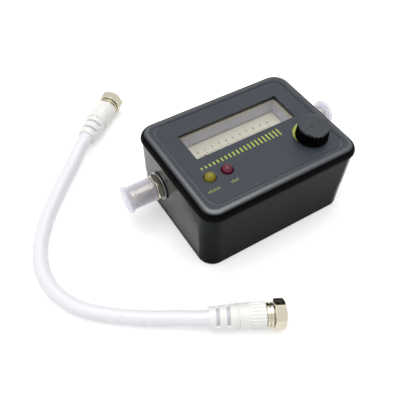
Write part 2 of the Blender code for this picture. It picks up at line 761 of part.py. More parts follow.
def add_case_screws():
    """Four slotted screws, head down in the tray's counterbores."""
    tip = SCREW_HEAD_TOP + SCREW_SHANK_LENGTH
    section = [
        (SCREW_SINK, 0), (SCREW_SINK, SCREW_HEAD_RADIUS), (SCREW_HEAD_TOP, SCREW_HEAD_RADIUS),
        (SCREW_HEAD_TOP, SCREW_SHANK_RADIUS), (tip - SCREW_SHANK_RADIUS, SCREW_SHANK_RADIUS), (tip, 0),
    ]
    length = SCREW_HEAD_RADIUS + OVERRUN
    slot = rectangle(-length, length, -SCREW_SLOT_WIDTH / 2, SCREW_SLOT_WIDTH / 2)
    slots = [
        (prism(slot, SCREW_SINK - OVERRUN, SCREW_SINK + SCREW_SLOT_DEPTH), (x, y, 0))
        for x, y in column_places()
    ]
    helper = add_helper("screw_slots", gathered(slots))
    for number, (x, y) in enumerate(column_places(), 1):
        shape = turned(section, "Z", SMALL_SIDES)
        screw = add_piece(f"case_screw_{number}", shape, "zinc", None, (x, y, 0))
        combine(screw, helper, "DIFFERENCE")


def tub_outline(margin):
    """The meter tub's plan: a wide bay for the scale with a narrow bay in front for the movement."""
    bay_x = WINDOW_LENGTH / 2 + margin
    back = WINDOW_DEPTH + margin
    front = -METER_FRONT - margin
    narrow_x = MOVEMENT_HALF + margin
    narrow_front = -PIVOT_SETBACK - MOVEMENT_REACH - margin
    return [
        (-narrow_x, narrow_front), (narrow_x, narrow_front), (narrow_x, front), (bay_x, front),
        (bay_x, back), (-bay_x, back), (-bay_x, front), (-narrow_x, front),
    ]


def add_meter_case():
    """The meter's tub, its clear cover and its scale plate."""
    outer = tub_outline(METER_WALL)
    inner = tub_outline(0)
    rings = [ring(outer, TUB_BOTTOM), ring(outer, TUB_TOP), ring(inner, TUB_TOP), ring(inner, TUB_FLOOR)]
    add_piece("meter_tub", lofted(rings), "cream_plastic")
    add_piece("meter_cover", prism(outer, LENS_BOTTOM, LENS_TOP), "clear_plastic")
    half = WINDOW_LENGTH / 2 - CLEAR
    plate = rectangle(-half, half, CLEAR - METER_FRONT, WINDOW_DEPTH - CLEAR)
    add_piece("scale_plate", prism(plate, SCALE_BOTTOM, SCALE_TOP), "scale_card")


def add_movement():
    """The meter's magnet core, yoke ring, bridge and hair spring."""
    pivot = add_axis("meter_pivot_fixed", (0, -PIVOT_SETBACK, 0))
    shape = cylinder(CORE_RADIUS, CORE_BOTTOM, CORE_TOP, "Z", SMALL_SIDES)
    core = add_piece("magnet_core", shape, "magnet", pivot)
    arm = rectangle(-CORE_ARM / 2, CORE_ARM / 2, CLEAR - YOKE_BORE, YOKE_BORE - CLEAR)
    arms = prism(arm, CORE_BOTTOM + CORE_ARM_INSET, CORE_TOP - CORE_ARM_INSET)
    combine(core, add_helper("core_arms", arms, pivot), "UNION")

    low = CORE_BOTTOM - YOKE_STANDS_OUT
    high = CORE_TOP + YOKE_STANDS_OUT
    section = [(low, YOKE_BORE), (low, YOKE_RADIUS), (high, YOKE_RADIUS), (high, YOKE_BORE)]
    add_piece("yoke_ring", turned(section, "Z"), "zinc", pivot)

    leg_inner = YOKE_RADIUS + CLEAR
    leg_outer = leg_inner + BRIDGE_LEG
    foot = TUB_FLOOR + CLEAR
    arch = [
        (-leg_outer, foot), (-leg_inner, foot), (-leg_inner, BRIDGE_BOTTOM), (leg_inner, BRIDGE_BOTTOM),
        (leg_inner, foot), (leg_outer, foot), (leg_outer, BRIDGE_TOP), (-leg_outer, BRIDGE_TOP),
    ]
    sides = [[Vector((x, y, z)) for x, z in arch] for y in (-BRIDGE_WIDTH / 2, BRIDGE_WIDTH / 2)]
    bridge = add_piece("movement_bridge", lofted(sides), "brass", pivot)
    hole = cylinder(STAFF_RADIUS + CLEAR, BRIDGE_BOTTOM - OVERRUN, BRIDGE_TOP + OVERRUN, "Z", SMALL_SIDES)
    combine(bridge, add_helper("bridge_hole", hole, pivot), "DIFFERENCE")

    start = STAFF_RADIUS + CLEAR + SPRING_WIRE
    count = SPRING_TURNS * SPRING_POINTS_PER_TURN
    spiral = []
    for i in range(count + 1):
        angle = 2 * math.pi * i / SPRING_POINTS_PER_TURN
        radius = start + (SPRING_REACH - start) * i / count
        spiral.append(Vector((radius * math.cos(angle), radius * math.sin(angle), SPRING_MID)))
    add_tube("hair_spring", spiral, SPRING_WIRE, "copper", 0, pivot)


def add_pointer():
    """The moving coil with its pivots, and the cranked pointer on it, drawn at the left-hand stop."""
    pivot = add_axis("pointer_axis", (0, -PIVOT_SETBACK, 0), POINTER_REST_ANGLE)
    inner_x = CORE_RADIUS + CLEAR
    outer_x = inner_x + COIL_BUNDLE
    inner = [(-inner_x, COIL_BOTTOM + COIL_BUNDLE), (inner_x, COIL_BOTTOM + COIL_BUNDLE),
             (inner_x, COIL_TOP - COIL_BUNDLE), (-inner_x, COIL_TOP - COIL_BUNDLE)]
    outer = [(-outer_x, COIL_BOTTOM), (outer_x, COIL_BOTTOM), (outer_x, COIL_TOP), (-outer_x, COIL_TOP)]
    near = -COIL_DEPTH / 2
    far = COIL_DEPTH / 2
    rings = [
        [Vector((x, y, z)) for x, z in outline]
        for outline, y in ((outer, near), (outer, far), (inner, far), (inner, near))
    ]
    coil = add_piece("moving_coil", lofted(rings, looped=True), "copper", pivot)
    sink = COIL_BUNDLE / 2
    pivots = [
        (cylinder(STAFF_RADIUS, TUB_FLOOR + CLEAR, COIL_BOTTOM + sink, "Z", SMALL_SIDES), (0, 0, 0)),
        (cylinder(STAFF_RADIUS, COIL_TOP - sink, BRIDGE_TOP - CLEAR / 2, "Z", SMALL_SIDES), (0, 0, 0)),
    ]
    combine(coil, add_helper("coil_pivots", gathered(pivots), pivot), "UNION")

    hub_bore = STAFF_RADIUS + CLEAR
    section = [(HUB_BOTTOM, hub_bore), (HUB_BOTTOM, HUB_RADIUS), (HUB_TOP, HUB_RADIUS), (HUB_TOP, hub_bore)]
    pointer = add_piece("pointer", turned(section, "Z", SMALL_SIDES), "pointer_red", pivot)
    low = SCALE_TOP + POINTER_LIFT
    crank_start = YOKE_RADIUS + CRANK_CLEARANCE
    crank_end = crank_start + CRANK_RUN
    root = (hub_bore + HUB_RADIUS) / 2
    level = HUB_BOTTOM + (HUB_THICKNESS - POINTER_THICKNESS) / 2
    shoulder = TAIL_WEIGHT - TAIL_LENGTH
    tail = (
        (-TAIL_LENGTH, TAIL_WIDTH, level), (shoulder, TAIL_WIDTH, level),
        (shoulder + (TAIL_WIDTH - POINTER_WIDTH) / 2, POINTER_WIDTH, level), (-root, POINTER_WIDTH, level),
    )
    blade = (
        (root, POINTER_WIDTH, level), (crank_start, POINTER_WIDTH, level),
        (crank_end, POINTER_WIDTH, low), (POINTER_LENGTH, POINTER_TIP_WIDTH, low),
    )
    strips = []
    for strip in (tail, blade):
        rings = []
        for y, width, bottom in strip:
            top = bottom + POINTER_THICKNESS
            half = width / 2
            corners = ((-half, bottom), (half, bottom), (half, top), (-half, top))
            rings.append([Vector((x, y, z)) for x, z in corners])
        strips.append((lofted(rings), (0, 0, 0)))
    combine(pointer, add_helper("pointer_blade", gathered(strips), pivot), "UNION")


def add_level_control():
    """The potentiometer under the lid: bushing plate, can, panel nut, and wafer with its long terminals."""
    seat = add_axis("level_control_seat", (KNOB_X, KNOB_Y, 0))
    bore = SHAFT_NECK_RADIUS + CLEAR
    plate_bottom = POT_TOP - POT_PLATE
    section = [
        (plate_bottom, bore), (plate_bottom, POT_RADIUS), (POT_TOP, POT_RADIUS),
        (POT_TOP, BUSHING_RADIUS), (BUSHING_TOP, BUSHING_RADIUS), (BUSHING_TOP, bore),
    ]
    add_piece("pot_bushing", turned(section, "Z"), "zinc", seat)

    can_bore = POT_RADIUS - POT_CAN_WALL
    can_floor = CAN_BOTTOM + POT_CAN_WALL
    section = [
        (CAN_BOTTOM, 0), (CAN_BOTTOM, POT_RADIUS), (CAN_TOP, POT_RADIUS), (CAN_TOP, can_bore),
        (can_floor, can_bore), (can_floor, 0),
    ]
    can = add_piece("pot_can", turned(section, "Z"), "zinc", seat)
    slot_half = TAB_PITCH + TAB_WIDTH / 2 + CLEAR
    slot = prism(
        rectangle(-slot_half, slot_half, can_bore / 2, POT_RADIUS + OVERRUN),
        WAFER_BOTTOM - CLEAR / 2, WAFER_BOTTOM + TAB_THICKNESS + 2 * CLEAR,
    )
    combine(can, add_helper("can_slot", slot, seat), "DIFFERENCE")

    wafer = add_piece("pot_wafer", cylinder(WAFER_RADIUS, WAFER_BOTTOM, WAFER_TOP, "Z"), "phenolic", seat)
    tab_bottom = WAFER_BOTTOM + CLEAR
    tab_top = tab_bottom + TAB_THICKNESS
    bend = [
        (TAB_START, tab_bottom), (TAB_END - TAB_THICKNESS, tab_bottom), (TAB_END - TAB_THICKNESS, PARTS_FOOT),
        (TAB_END, PARTS_FOOT), (TAB_END, tab_top), (TAB_START, tab_top),
    ]
    tabs = []
    for side in (-1, 0, 1):
        middle = side * TAB_PITCH
        sides = [
            [Vector((x, reach, z)) for reach, z in bend]
            for x in (middle - TAB_WIDTH / 2, middle + TAB_WIDTH / 2)
        ]
        tabs.append((lofted(sides), (0, 0, 0)))
    combine(wafer, add_helper("wafer_terminals", gathered(tabs), seat), "UNION")

    nut_bottom = CASE_HEIGHT + CLEAR
    nut = hexagon_nut(
        PANEL_NUT_FLATS, BUSHING_RADIUS + CLEAR, nut_bottom, nut_bottom + PANEL_NUT_THICKNESS, "Z"
    )
    add_piece("pot_nut", nut, "nickel", seat)


def drop_wire(start_x, start_y, start_z, end_x, end_y):
    """A wire that leaves downwards, bends over and stands on the board."""
    foot = PARTS_FOOT
    drop = (start_z - foot) * WIRE_DROP_SHARE
    points = (
        (start_x, start_y, start_z), (start_x, start_y, start_z - drop),
        (end_x, end_y, foot + drop), (end_x, end_y, foot),
    )
    return smooth_route(points, (start_z - foot) / WIRE_STEPS)


def add_knob():
    """The knob with its flutes and pointer mark, and the potentiometer's shaft that it sits on."""
    axis = add_axis("level_axis", (KNOB_X, KNOB_Y, 0))
    count = 2 * KNOB_FLUTES
    angles = [2 * math.pi * i / count for i in range(count)]

    def knob_ring(height, radius, flute):
        """The knob's outline at a height, with every other point drawn in by the flute."""
        radii = [radius - (flute if i % 2 else 0) for i in range(count)]
        return [Vector((r * math.cos(a), r * math.sin(a), height)) for r, a in zip(radii, angles)]

    shoulder = KNOB_TOP - 2 * KNOB_EDGE
    rings = [
        knob_ring(KNOB_BOTTOM, KNOB_BASE_RADIUS, KNOB_FLUTE_DEPTH),
        knob_ring(shoulder, KNOB_TOP_RADIUS, KNOB_FLUTE_DEPTH),
        knob_ring(KNOB_TOP - KNOB_EDGE, KNOB_TOP_RADIUS, 0),
        knob_ring(KNOB_TOP, KNOB_TOP_RADIUS - KNOB_EDGE, 0),
    ]
    knob = add_piece("level_knob", lofted(rings), "knob_plastic", axis)

    cavity = KNOB_TOP_RADIUS - KNOB_WALL
    socket = SHAFT_RADIUS + CLEAR
    socket_outer = socket + KNOB_SOCKET_WALL
    socket_foot = BUSHING_TOP + CLEAR
    section = [
        (KNOB_BOTTOM - OVERRUN, 0), (KNOB_BOTTOM - OVERRUN, cavity), (KNOB_CEILING, cavity),
        (KNOB_CEILING, socket_outer), (socket_foot, socket_outer), (socket_foot, socket),
        (KNOB_CEILING, socket), (KNOB_CEILING, 0),
    ]
    mark = prism(
        rectangle(KNOB_MARK_START, KNOB_TOP_RADIUS + OVERRUN, -KNOB_MARK_WIDTH / 2, KNOB_MARK_WIDTH / 2),
        KNOB_TOP - KNOB_MARK_DEPTH, KNOB_TOP + OVERRUN,
    )
    bmesh.ops.rotate(mark, verts=mark.verts, cent=(0, 0, 0), matrix=Matrix.Rotation(KNOB_MARK_ANGLE, 3, "Z"))
    cuts = gathered([(turned(section, "Z"), (0, 0, 0)), (mark, (0, 0, 0))])
    combine(knob, add_helper("knob_cuts", cuts, axis), "DIFFERENCE")

    rotor = WAFER_RADIUS - CLEAR
    section = [
        (ROTOR_BOTTOM, 0), (ROTOR_BOTTOM, rotor), (ROTOR_TOP, rotor), (ROTOR_TOP, SHAFT_NECK_RADIUS),
        (socket_foot, SHAFT_NECK_RADIUS), (socket_foot, SHAFT_RADIUS),
        (KNOB_CEILING - CLEAR, SHAFT_RADIUS), (KNOB_CEILING - CLEAR, 0),
    ]
    add_piece("pot_shaft", turned(section, "Z", SMALL_SIDES), "white_plastic", axis)


def add_lamp(name, x, finish):
    """A round-topped indicator lamp in its hole, on two legs that stand on the board."""
    dome_foot = LAMP_TOP - LAMP_RADIUS
    section = [
        (LAMP_BOTTOM, 0), (LAMP_BOTTOM, LAMP_FLANGE), (LAMP_BOTTOM + LAMP_FLANGE_HEIGHT, LAMP_FLANGE),
        (LAMP_BOTTOM + LAMP_FLANGE_HEIGHT, LAMP_RADIUS),
    ]
    for step in range(LAMP_DOME_STEPS):
        angle = math.pi / 2 * step / LAMP_DOME_STEPS
        section.append((dome_foot + LAMP_RADIUS * math.sin(angle), LAMP_RADIUS * math.cos(angle)))
    section.append((LAMP_TOP, 0))
    lamp = add_piece(name, turned(section, "Z", LAMP_SIDES), finish, None, (x, LAMP_Y, 0))
    legs = []
    for side in (-1, 1):
        leg = cylinder(LAMP_LEG_RADIUS, PARTS_FOOT, LAMP_BOTTOM + LAMP_FLANGE_HEIGHT, "Z", LEG_SIDES)
        legs.append((leg, (x + side * LAMP_LEG_PITCH / 2, LAMP_Y, 0)))
    combine(lamp, add_helper(f"{name}_legs", gathered(legs)), "UNION")


def add_lamps():
    """Both indicator lamps."""
    add_lamp("lamp_yellow", LAMP_LEFT_X, "yellow_lens")
    add_lamp("lamp_red", LAMP_RIGHT_X, "red_lens")


def socket_face():
    """Where the end wall's outer face stands, at the top of the socket's washer."""
    return tray_half_x(SOCKET_Z + WASHER_RADIUS)


def socket_back():
    """Distance from the outer face in to the flange, at the flange's foot where the wall leans in."""
    inner_face = tray_half_x(SOCKET_Z - SOCKET_FLANGE_RADIUS) - CASE_WALL
    return socket_face() - inner_face + CLEAR


def board_half_x():
    """Half length of the board, which ends at the sockets' rear ends."""
    return socket_face() - socket_back() - SOCKET_FLANGE - SOCKET_REAR - CLEAR


def socket_shapes():
    """One socket's pieces along local +X, outwards, with the wall's outer face at zero."""
    flange_front = -socket_back()
    flange_rear = flange_front - SOCKET_FLANGE
    rear = flange_rear - SOCKET_REAR
    bore = THREAD_RADIUS - BARREL_WALL
    bore_foot = BARREL_LENGTH - BARREL_BORE_DEPTH
    body = [
        (rear, REAR_HOLE_RADIUS), (rear, SOCKET_REAR_RADIUS), (flange_rear, SOCKET_REAR_RADIUS),
        (flange_rear, SOCKET_FLANGE_RADIUS), (flange_front, SOCKET_FLANGE_RADIUS),
        (flange_front, THREAD_RADIUS), (BARREL_LENGTH - BARREL_CHAMFER, THREAD_RADIUS),
        (BARREL_LENGTH, THREAD_RADIUS - BARREL_CHAMFER), (BARREL_LENGTH, bore), (bore_foot, bore),
        (bore_foot, REAR_HOLE_RADIUS),
    ]
    insulator_bore = CONTACT_RADIUS + CLEAR
    insulator_start = bore_foot + CLEAR
    insulator_end = BARREL_LENGTH - BARREL_CHAMFER
    insulator = [
        (insulator_start, insulator_bore), (insulator_start, bore - CLEAR),
        (insulator_end, bore - CLEAR), (insulator_end, insulator_bore),
    ]
    contact_end = insulator_end - CONTACT_SET_BACK
    contact = [
        (rear - CONTACT_REACH, 0), (rear - CONTACT_REACH, CONTACT_PIN), (bore_foot, CONTACT_PIN),
        (bore_foot, CONTACT_RADIUS), (contact_end, CONTACT_RADIUS), (contact_end, CONTACT_BORE),
        (contact_end - CONTACT_BORE_DEPTH, CONTACT_BORE), (contact_end - CONTACT_BORE_DEPTH, 0),
    ]
    washer = [
        (CLEAR, THREAD_RADIUS + CLEAR), (CLEAR, WASHER_RADIUS), (CLEAR + WASHER_THICKNESS, WASHER_RADIUS),
        (CLEAR + WASHER_THICKNESS, THREAD_RADIUS + CLEAR),
    ]
    nut_start = 2 * CLEAR + WASHER_THICKNESS
    nut_end = nut_start + SOCKET_NUT_THICKNESS
    nut = hexagon_nut(SOCKET_NUT_FLATS, THREAD_RADIUS + CLEAR, nut_start, nut_end, "X")
    return {
        "f_socket": (turned(body, "X"), "nickel"),
        "f_insulator": (turned(insulator, "X", SMALL_SIDES), "white_plastic"),
        "f_contact": (turned(contact, "X", SMALL_SIDES), "brass"),
        "f_washer": (turned(washer, "X"), "zinc"),
        "f_nut": (nut, "nickel"),
        "dust_cap": (turned(cap_section(nut_end + CLEAR), "X"), "milky_plastic"),
    }


def cap_section(mouth):
    """The slip-on cap's section: a closed tube over the barrel with a disc round its outer end."""
    bore = THREAD_RADIUS + CLEAR
    tube = bore + CAP_WALL
    bore_end = BARREL_LENGTH + CAP_AIR
    outer_end = bore_end + CAP_END_WALL
    return [
        (outer_end, 0), (outer_end, CAP_DISC_RADIUS), (outer_end - CAP_DISC, CAP_DISC_RADIUS),
        (outer_end - CAP_DISC, tube), (mouth, tube), (mouth, bore), (bore_end, bore), (bore_end, 0),
    ]


def add_sockets():
    """The right-hand socket with its cap, and its copy turned round on the left."""
    right = add_axis("socket_seat_right", (socket_face(), SOCKET_Y, SOCKET_Z))
    left = add_axis("socket_seat_left", (-socket_face(), SOCKET_Y, SOCKET_Z), math.pi)
    for name, (shape, finish) in socket_shapes().items():
        piece = add_piece(f"{name}_right", shape, finish, right)
        add_copy(f"{name}_left", piece, left, finish)


def board_block(length, width, height, lift=0.0):
    """A rectangular body over the board, centred in plan, lifted off its foot by a given amount."""
    plan = rectangle(-length / 2, length / 2, -width / 2, width / 2)
    return prism(plan, PARTS_FOOT + lift, PARTS_FOOT + height)


def add_package(name, shares, size, leg_count, leg_pitch):
    """A moulded component on the board with legs along both long sides; size is length, width, height."""
    length, width, height = size
    x, y = board_point(shares)
    body = board_block(length, width, height, PACKAGE_LIFT)
    package = add_piece(name, body, "component_black", None, (x, y, 0))
    legs = []
    for i in range(leg_count):
        leg_x = x + (i - (leg_count - 1) / 2) * leg_pitch
        for side in (-1, 1):
            leg = board_block(CHIP_LEG_WIDTH, CHIP_LEG_REACH, CHIP_LEG_THICKNESS)
            legs.append((leg, (leg_x, y + side * width / 2, 0)))
    combine(package, add_helper(f"{name}_legs", gathered(legs)), "UNION")


def add_board():
    """The circuit board and its components."""
    board = rounded_rectangle(board_half_x(), BOARD_HALF_Y, BOARD_CORNER)
    add_piece("circuit_board", prism(board, BOARD_BOTTOM, BOARD_TOP), "board_green")

    chip = (CHIP_LENGTH, CHIP_WIDTH, CHIP_HEIGHT)
    add_package("amplifier_chip", CHIP_PLACE_SHARES, chip, CHIP_LEG_COUNT, CHIP_LEG_PITCH)
    network = (NETWORK_LENGTH, NETWORK_WIDTH, NETWORK_HEIGHT)
    add_package("resistor_network", NETWORK_PLACE_SHARES, network, CHIP_LEG_COUNT, CHIP_LEG_PITCH)
    transistor = (TRANSISTOR_LENGTH, TRANSISTOR_WIDTH, TRANSISTOR_HEIGHT)
    for number, shares in enumerate(TRANSISTOR_PLACE_SHARES, 1):
        add_package(f"transistor_{number}", shares, transistor, TRANSISTOR_LEG_COUNT, TRANSISTOR_LEG_PITCH)

    foot = PARTS_FOOT
    neck = CAPACITOR_RADIUS - CAPACITOR_NECK
    section = [
        (foot, 0), (foot, CAPACITOR_RADIUS), (foot + CAPACITOR_FOOT, CAPACITOR_RADIUS),
        (foot + CAPACITOR_FOOT, neck), (foot + CAPACITOR_HEIGHT, neck), (foot + CAPACITOR_HEIGHT, 0),
    ]
    for number, shares in enumerate(CAPACITOR_PLACE_SHARES, 1):
        shape = turned(section, "Z", SMALL_SIDES)
        add_piece(f"capacitor_{number}", shape, "component_silver", None, (*board_point(shares), 0))

    half = CHOKE_LENGTH / 2
    wound = CHOKE_RADIUS - CHOKE_WIND
    section = [
        (-half, 0), (-half, CHOKE_RADIUS), (CHOKE_END - half, CHOKE_RADIUS), (CHOKE_END - half, wound),
        (half - CHOKE_END, wound), (half - CHOKE_END, CHOKE_RADIUS), (half, CHOKE_RADIUS), (half, 0),
    ]
    choke_x = board_half_x() * CHOKE_PLACE_SHARE
    for name, x in (("choke_left", -choke_x), ("choke_right", choke_x)):
        shape = turned(section, "X", SMALL_SIDES)
        add_piece(name, shape, "copper", None, (x, SOCKET_Y, foot + CHOKE_RADIUS))

    buzzer_top = BOARD_BOTTOM - CLEAR
    buzzer_foot = buzzer_top - BUZZER_HEIGHT
    section = [
        (buzzer_foot + BUZZER_VENT_DEPTH, 0), (buzzer_foot + BUZZER_VENT_DEPTH, BUZZER_VENT),
        (buzzer_foot, BUZZER_VENT), (buzzer_foot, BUZZER_RADIUS), (buzzer_top, BUZZER_RADIUS),
        (buzzer_top, 0),
    ]
    buzzer_x, buzzer_y = board_point(BUZZER_PLACE_SHARES)
    add_piece("buzzer", turned(section, "Z"), "component_black", None, (buzzer_x, buzzer_y, 0))

    start_y = -PIVOT_SETBACK - MOVEMENT_REACH + WIRE_RADIUS
    end_y = WIRE_BOARD_INSET - BOARD_HALF_Y
    for name, x, finish in (("meter_wire_left", -METER_WIRE_X, "wire_grey"),
                            ("meter_wire_right", METER_WIRE_X, "wire_red")):
        wire = drop_wire(x, start_y, TUB_BOTTOM - CLEAR, x, end_y)
        add_tube(name, wire, WIRE_RADIUS, finish, 1)


def boot_shape():
    """A moulded boot along local +X from its tail: rings and slots, a rib, a cone and a fluted grip."""
    taper_end = BOOT_LENGTH - BOOT_GRIP

    def boot_radius(distance):
        """Outer radius at a distance from the tail."""
        share = min(distance / taper_end, 1.0)
        return BOOT_TAIL_RADIUS + (BOOT_GRIP_RADIUS - BOOT_TAIL_RADIUS) * share

    def boot_ring(distance, radius, flute=0.0):
        """One ring of the boot, with every other point drawn in by the flute."""
        angles = [2 * math.pi * i / BOOT_SIDES for i in range(BOOT_SIDES)]
        radii = [radius - (flute if i % 2 else 0) for i in range(BOOT_SIDES)]
        return [Vector((distance, r * math.cos(a), r * math.sin(a))) for r, a in zip(radii, angles)]

    rings = [boot_ring(0, BOOT_TAIL_RADIUS - BOOT_EDGE), boot_ring(BOOT_EDGE, BOOT_TAIL_RADIUS)]
    distance = BOOT_TAIL_RING
    for slot, land in ((BOOT_SLOT, BOOT_MID_RING), (BOOT_SLOT, BOOT_FRONT_RING), (BOOT_RIB_SLOT, BOOT_RIB)):
        floor = boot_radius(distance) - BOOT_SLOT_DEPTH
        rings.append(boot_ring(distance, boot_radius(distance)))
        rings.append(boot_ring(distance, floor))
        distance += slot
        rings.append(boot_ring(distance, floor))
        rings.append(boot_ring(distance, boot_radius(distance)))
        distance += land
    floor = boot_radius(distance) - BOOT_SLOT_DEPTH
    rings.append(boot_ring(distance, boot_radius(distance)))
    rings.append(boot_ring(distance, floor))
    distance += BOOT_RIB_SLOT
    rings.append(boot_ring(distance, floor))
    rings.append(boot_ring(distance, boot_radius(distance)))
    rings.append(boot_ring(taper_end, BOOT_GRIP_RADIUS))
    rings.append(boot_ring(taper_end + BOOT_EDGE, BOOT_GRIP_RADIUS, BOOT_FLUTE_DEPTH))
    rings.append(boot_ring(BOOT_LENGTH, BOOT_GRIP_RADIUS, BOOT_FLUTE_DEPTH))
    socket = FERRULE_TAIL_RADIUS + CLEAR
    socket_end = BOOT_LENGTH - FERRULE_TAIL
    rings.append(boot_ring(BOOT_LENGTH, socket))
    rings.append(boot_ring(socket_end, socket))
    return lofted(rings)


def plug_shapes():
    """One plug's pieces along local +X, with the boot's tail at zero."""
    tail_start = BOOT_LENGTH - FERRULE_TAIL + CLEAR
    groove = FERRULE_RADIUS - FERRULE_GROOVE_DEPTH
    bore_foot = FERRULE_TIP - FERRULE_BORE_DEPTH
    ferrule = [
        (tail_start, 0), (tail_start, FERRULE_TAIL_RADIUS), (FERRULE_START, FERRULE_TAIL_RADIUS),
        (FERRULE_START, FERRULE_RADIUS), (FERRULE_START + FERRULE_RING, FERRULE_RADIUS),
        (FERRULE_START + FERRULE_RING, groove), (FERRULE_FRONT - FERRULE_RING, groove),
        (FERRULE_FRONT - FERRULE_RING, FERRULE_RADIUS), (FERRULE_FRONT, FERRULE_RADIUS),
        (FERRULE_FRONT, FERRULE_NECK_RADIUS), (FERRULE_COLLAR_START, FERRULE_NECK_RADIUS),
        (FERRULE_COLLAR_START, FERRULE_COLLAR_RADIUS), (FERRULE_TIP, FERRULE_COLLAR_RADIUS),
        (FERRULE_TIP, FERRULE_BORE), (bore_foot, FERRULE_BORE), (bore_foot, 0),
    ]
    pin_hole = PLUG_PIN_RADIUS + CLEAR
    core_start = bore_foot + CLEAR
    dielectric = [
        (core_start, pin_hole), (core_start, FERRULE_BORE - CLEAR), (FERRULE_TIP, FERRULE_BORE - CLEAR),
        (FERRULE_TIP, pin_hole),
    ]
    pin = [
        (core_start, 0), (core_start, PLUG_PIN_RADIUS),
        (PLUG_NUT_FRONT + PLUG_PIN_PROUD - PLUG_PIN_RADIUS, PLUG_PIN_RADIUS),
        (PLUG_NUT_FRONT + PLUG_PIN_PROUD, 0),
    ]
    return {
        "plug_boot": (boot_shape(), "white_pvc"),
        "plug_ferrule": (turned(ferrule, "X"), "nickel"),
        "plug_dielectric": (turned(dielectric, "X", SMALL_SIDES), "white_plastic"),
        "plug_pin": (turned(pin, "X", SMALL_SIDES), "copper"),
    }


def plug_nut_shape(roll):
    """The plug's hexagon nut along local +X: an end wall round the ferrule's neck, then the wide bore."""
    count = ROUND_SIDES
    angles = [2 * math.pi * i / count for i in range(count)]
    neck = FERRULE_NECK_RADIUS + CLEAR
    wall = PLUG_NUT_START + PLUG_NUT_END_WALL
    outer = [hexagon_radius(angle, PLUG_NUT_FLATS) for angle in angles]
    eased = [PLUG_NUT_FLATS / 2] * count
    stack = (
        (PLUG_NUT_START, [neck] * count), (PLUG_NUT_START, eased), (PLUG_NUT_START + NUT_CHAMFER, outer),
        (PLUG_NUT_FRONT - NUT_CHAMFER, outer), (PLUG_NUT_FRONT, eased),
        (PLUG_NUT_FRONT, [PLUG_NUT_BORE] * count), (wall, [PLUG_NUT_BORE] * count), (wall, [neck] * count),
    )
    rings = [
        [Vector((distance, r * math.cos(a + roll), r * math.sin(a + roll))) for r, a in zip(radii, angles)]
        for distance, radii in stack
    ]
    return lofted(rings, looped=True)


def plug_mouth(x, y, angle):
    """Where the cable's centre line meets a plug's tail, a clearance outside it."""
    return (x - CLEAR * math.cos(angle), y - CLEAR * math.sin(angle), PLUG_HEIGHT)


def add_lead():
    """The jumper lead: both plugs and the cable between them."""
    near = add_axis("near_plug_axis", (NEAR_PLUG_X, NEAR_PLUG_Y, PLUG_HEIGHT), NEAR_PLUG_ANGLE)
    far = add_axis("far_plug_axis", (FAR_PLUG_X, FAR_PLUG_Y, PLUG_HEIGHT), FAR_PLUG_ANGLE)
    for name, (shape, finish) in plug_shapes().items():
        piece = add_piece(f"{name}_near", shape, finish, near)
        add_copy(f"{name}_far", piece, far, finish)
    add_piece("plug_nut_near", plug_nut_shape(NEAR_NUT_ROLL), "nickel", near)
    add_piece("plug_nut_far", plug_nut_shape(FAR_NUT_ROLL), "nickel", far)
    route = (
        plug_mouth(NEAR_PLUG_X, NEAR_PLUG_Y, NEAR_PLUG_ANGLE),
        *CABLE_ROUTE,
        plug_mouth(FAR_PLUG_X, FAR_PLUG_Y, FAR_PLUG_ANGLE),
    )
    add_tube("lead_cable", smooth_route(route, CABLE_POINT_PITCH), CABLE_RADIUS, "white_pvc", 3)


def main():
    """Builds the whole meter."""
    clear_scene()
    add_lid()
    add_tray()
    add_case_screws()
    add_meter_case()
    add_movement()
    add_pointer()
    add_level_control()
    add_knob()
    add_lamps()
    add_sockets()
    add_board()
    add_lead()


main()
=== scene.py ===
"""Looks of the satellite signal meter and its jumper lead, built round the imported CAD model.

Sizes in the classes are in millimetres, in the CAD's frame: +Z up, the origin under the middle of
the case. Pieces are made in metres.
"""

import logging
from collections.abc import Iterable, Sequence
from dataclasses import dataclass, field
from enum import Enum
from math import atan2, cos, pi, radians, sin, sqrt, tan

import bmesh
import bpy
from mathutils import Matrix, Quaternion, Vector


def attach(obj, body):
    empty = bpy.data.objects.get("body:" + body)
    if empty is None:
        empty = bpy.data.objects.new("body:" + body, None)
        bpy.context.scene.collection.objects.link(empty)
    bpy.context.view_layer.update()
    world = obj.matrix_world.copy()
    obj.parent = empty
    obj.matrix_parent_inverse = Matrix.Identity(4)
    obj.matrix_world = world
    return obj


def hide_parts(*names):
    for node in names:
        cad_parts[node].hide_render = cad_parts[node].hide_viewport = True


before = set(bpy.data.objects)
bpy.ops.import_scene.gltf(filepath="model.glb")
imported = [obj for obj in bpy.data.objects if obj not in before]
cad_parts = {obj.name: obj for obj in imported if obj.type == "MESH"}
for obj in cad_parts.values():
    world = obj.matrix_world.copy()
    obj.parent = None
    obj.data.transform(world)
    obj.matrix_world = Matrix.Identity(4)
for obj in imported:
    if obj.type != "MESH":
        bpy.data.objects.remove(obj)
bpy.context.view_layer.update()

LOG = logging.getLogger("signal_meter")
MM = 0.001
TURN = 2 * pi
# Points nearer than WELD are one; faces within SAME_LEVEL of a height lie at it, in metres
WELD = 1e-6
SAME_LEVEL = 1e-5
# A face is level when its normal rises or falls by more than this
FLAT = 0.9
# Most that a rounded corner takes of the lines beside it
NEARLY_HALF = 0.48
# A nut's round end face, as a share of its width across the flats
NUT_FACE = 0.97
# Segments round an axis, from fluted pieces to small holes, and in one turn of thread
FINE_SIDES = 96
ROUND_SIDES = 64
HOLE_SIDES = 48
POST_SIDES = 32
SMALL_SIDES = 20
THREAD_STEPS = 32
# How far a cutter reaches past what it cuts, mm
PAST = 1.0
# Depth of a thread's ridge, as a share of its pitch
THREAD_DEPTH = 0.6
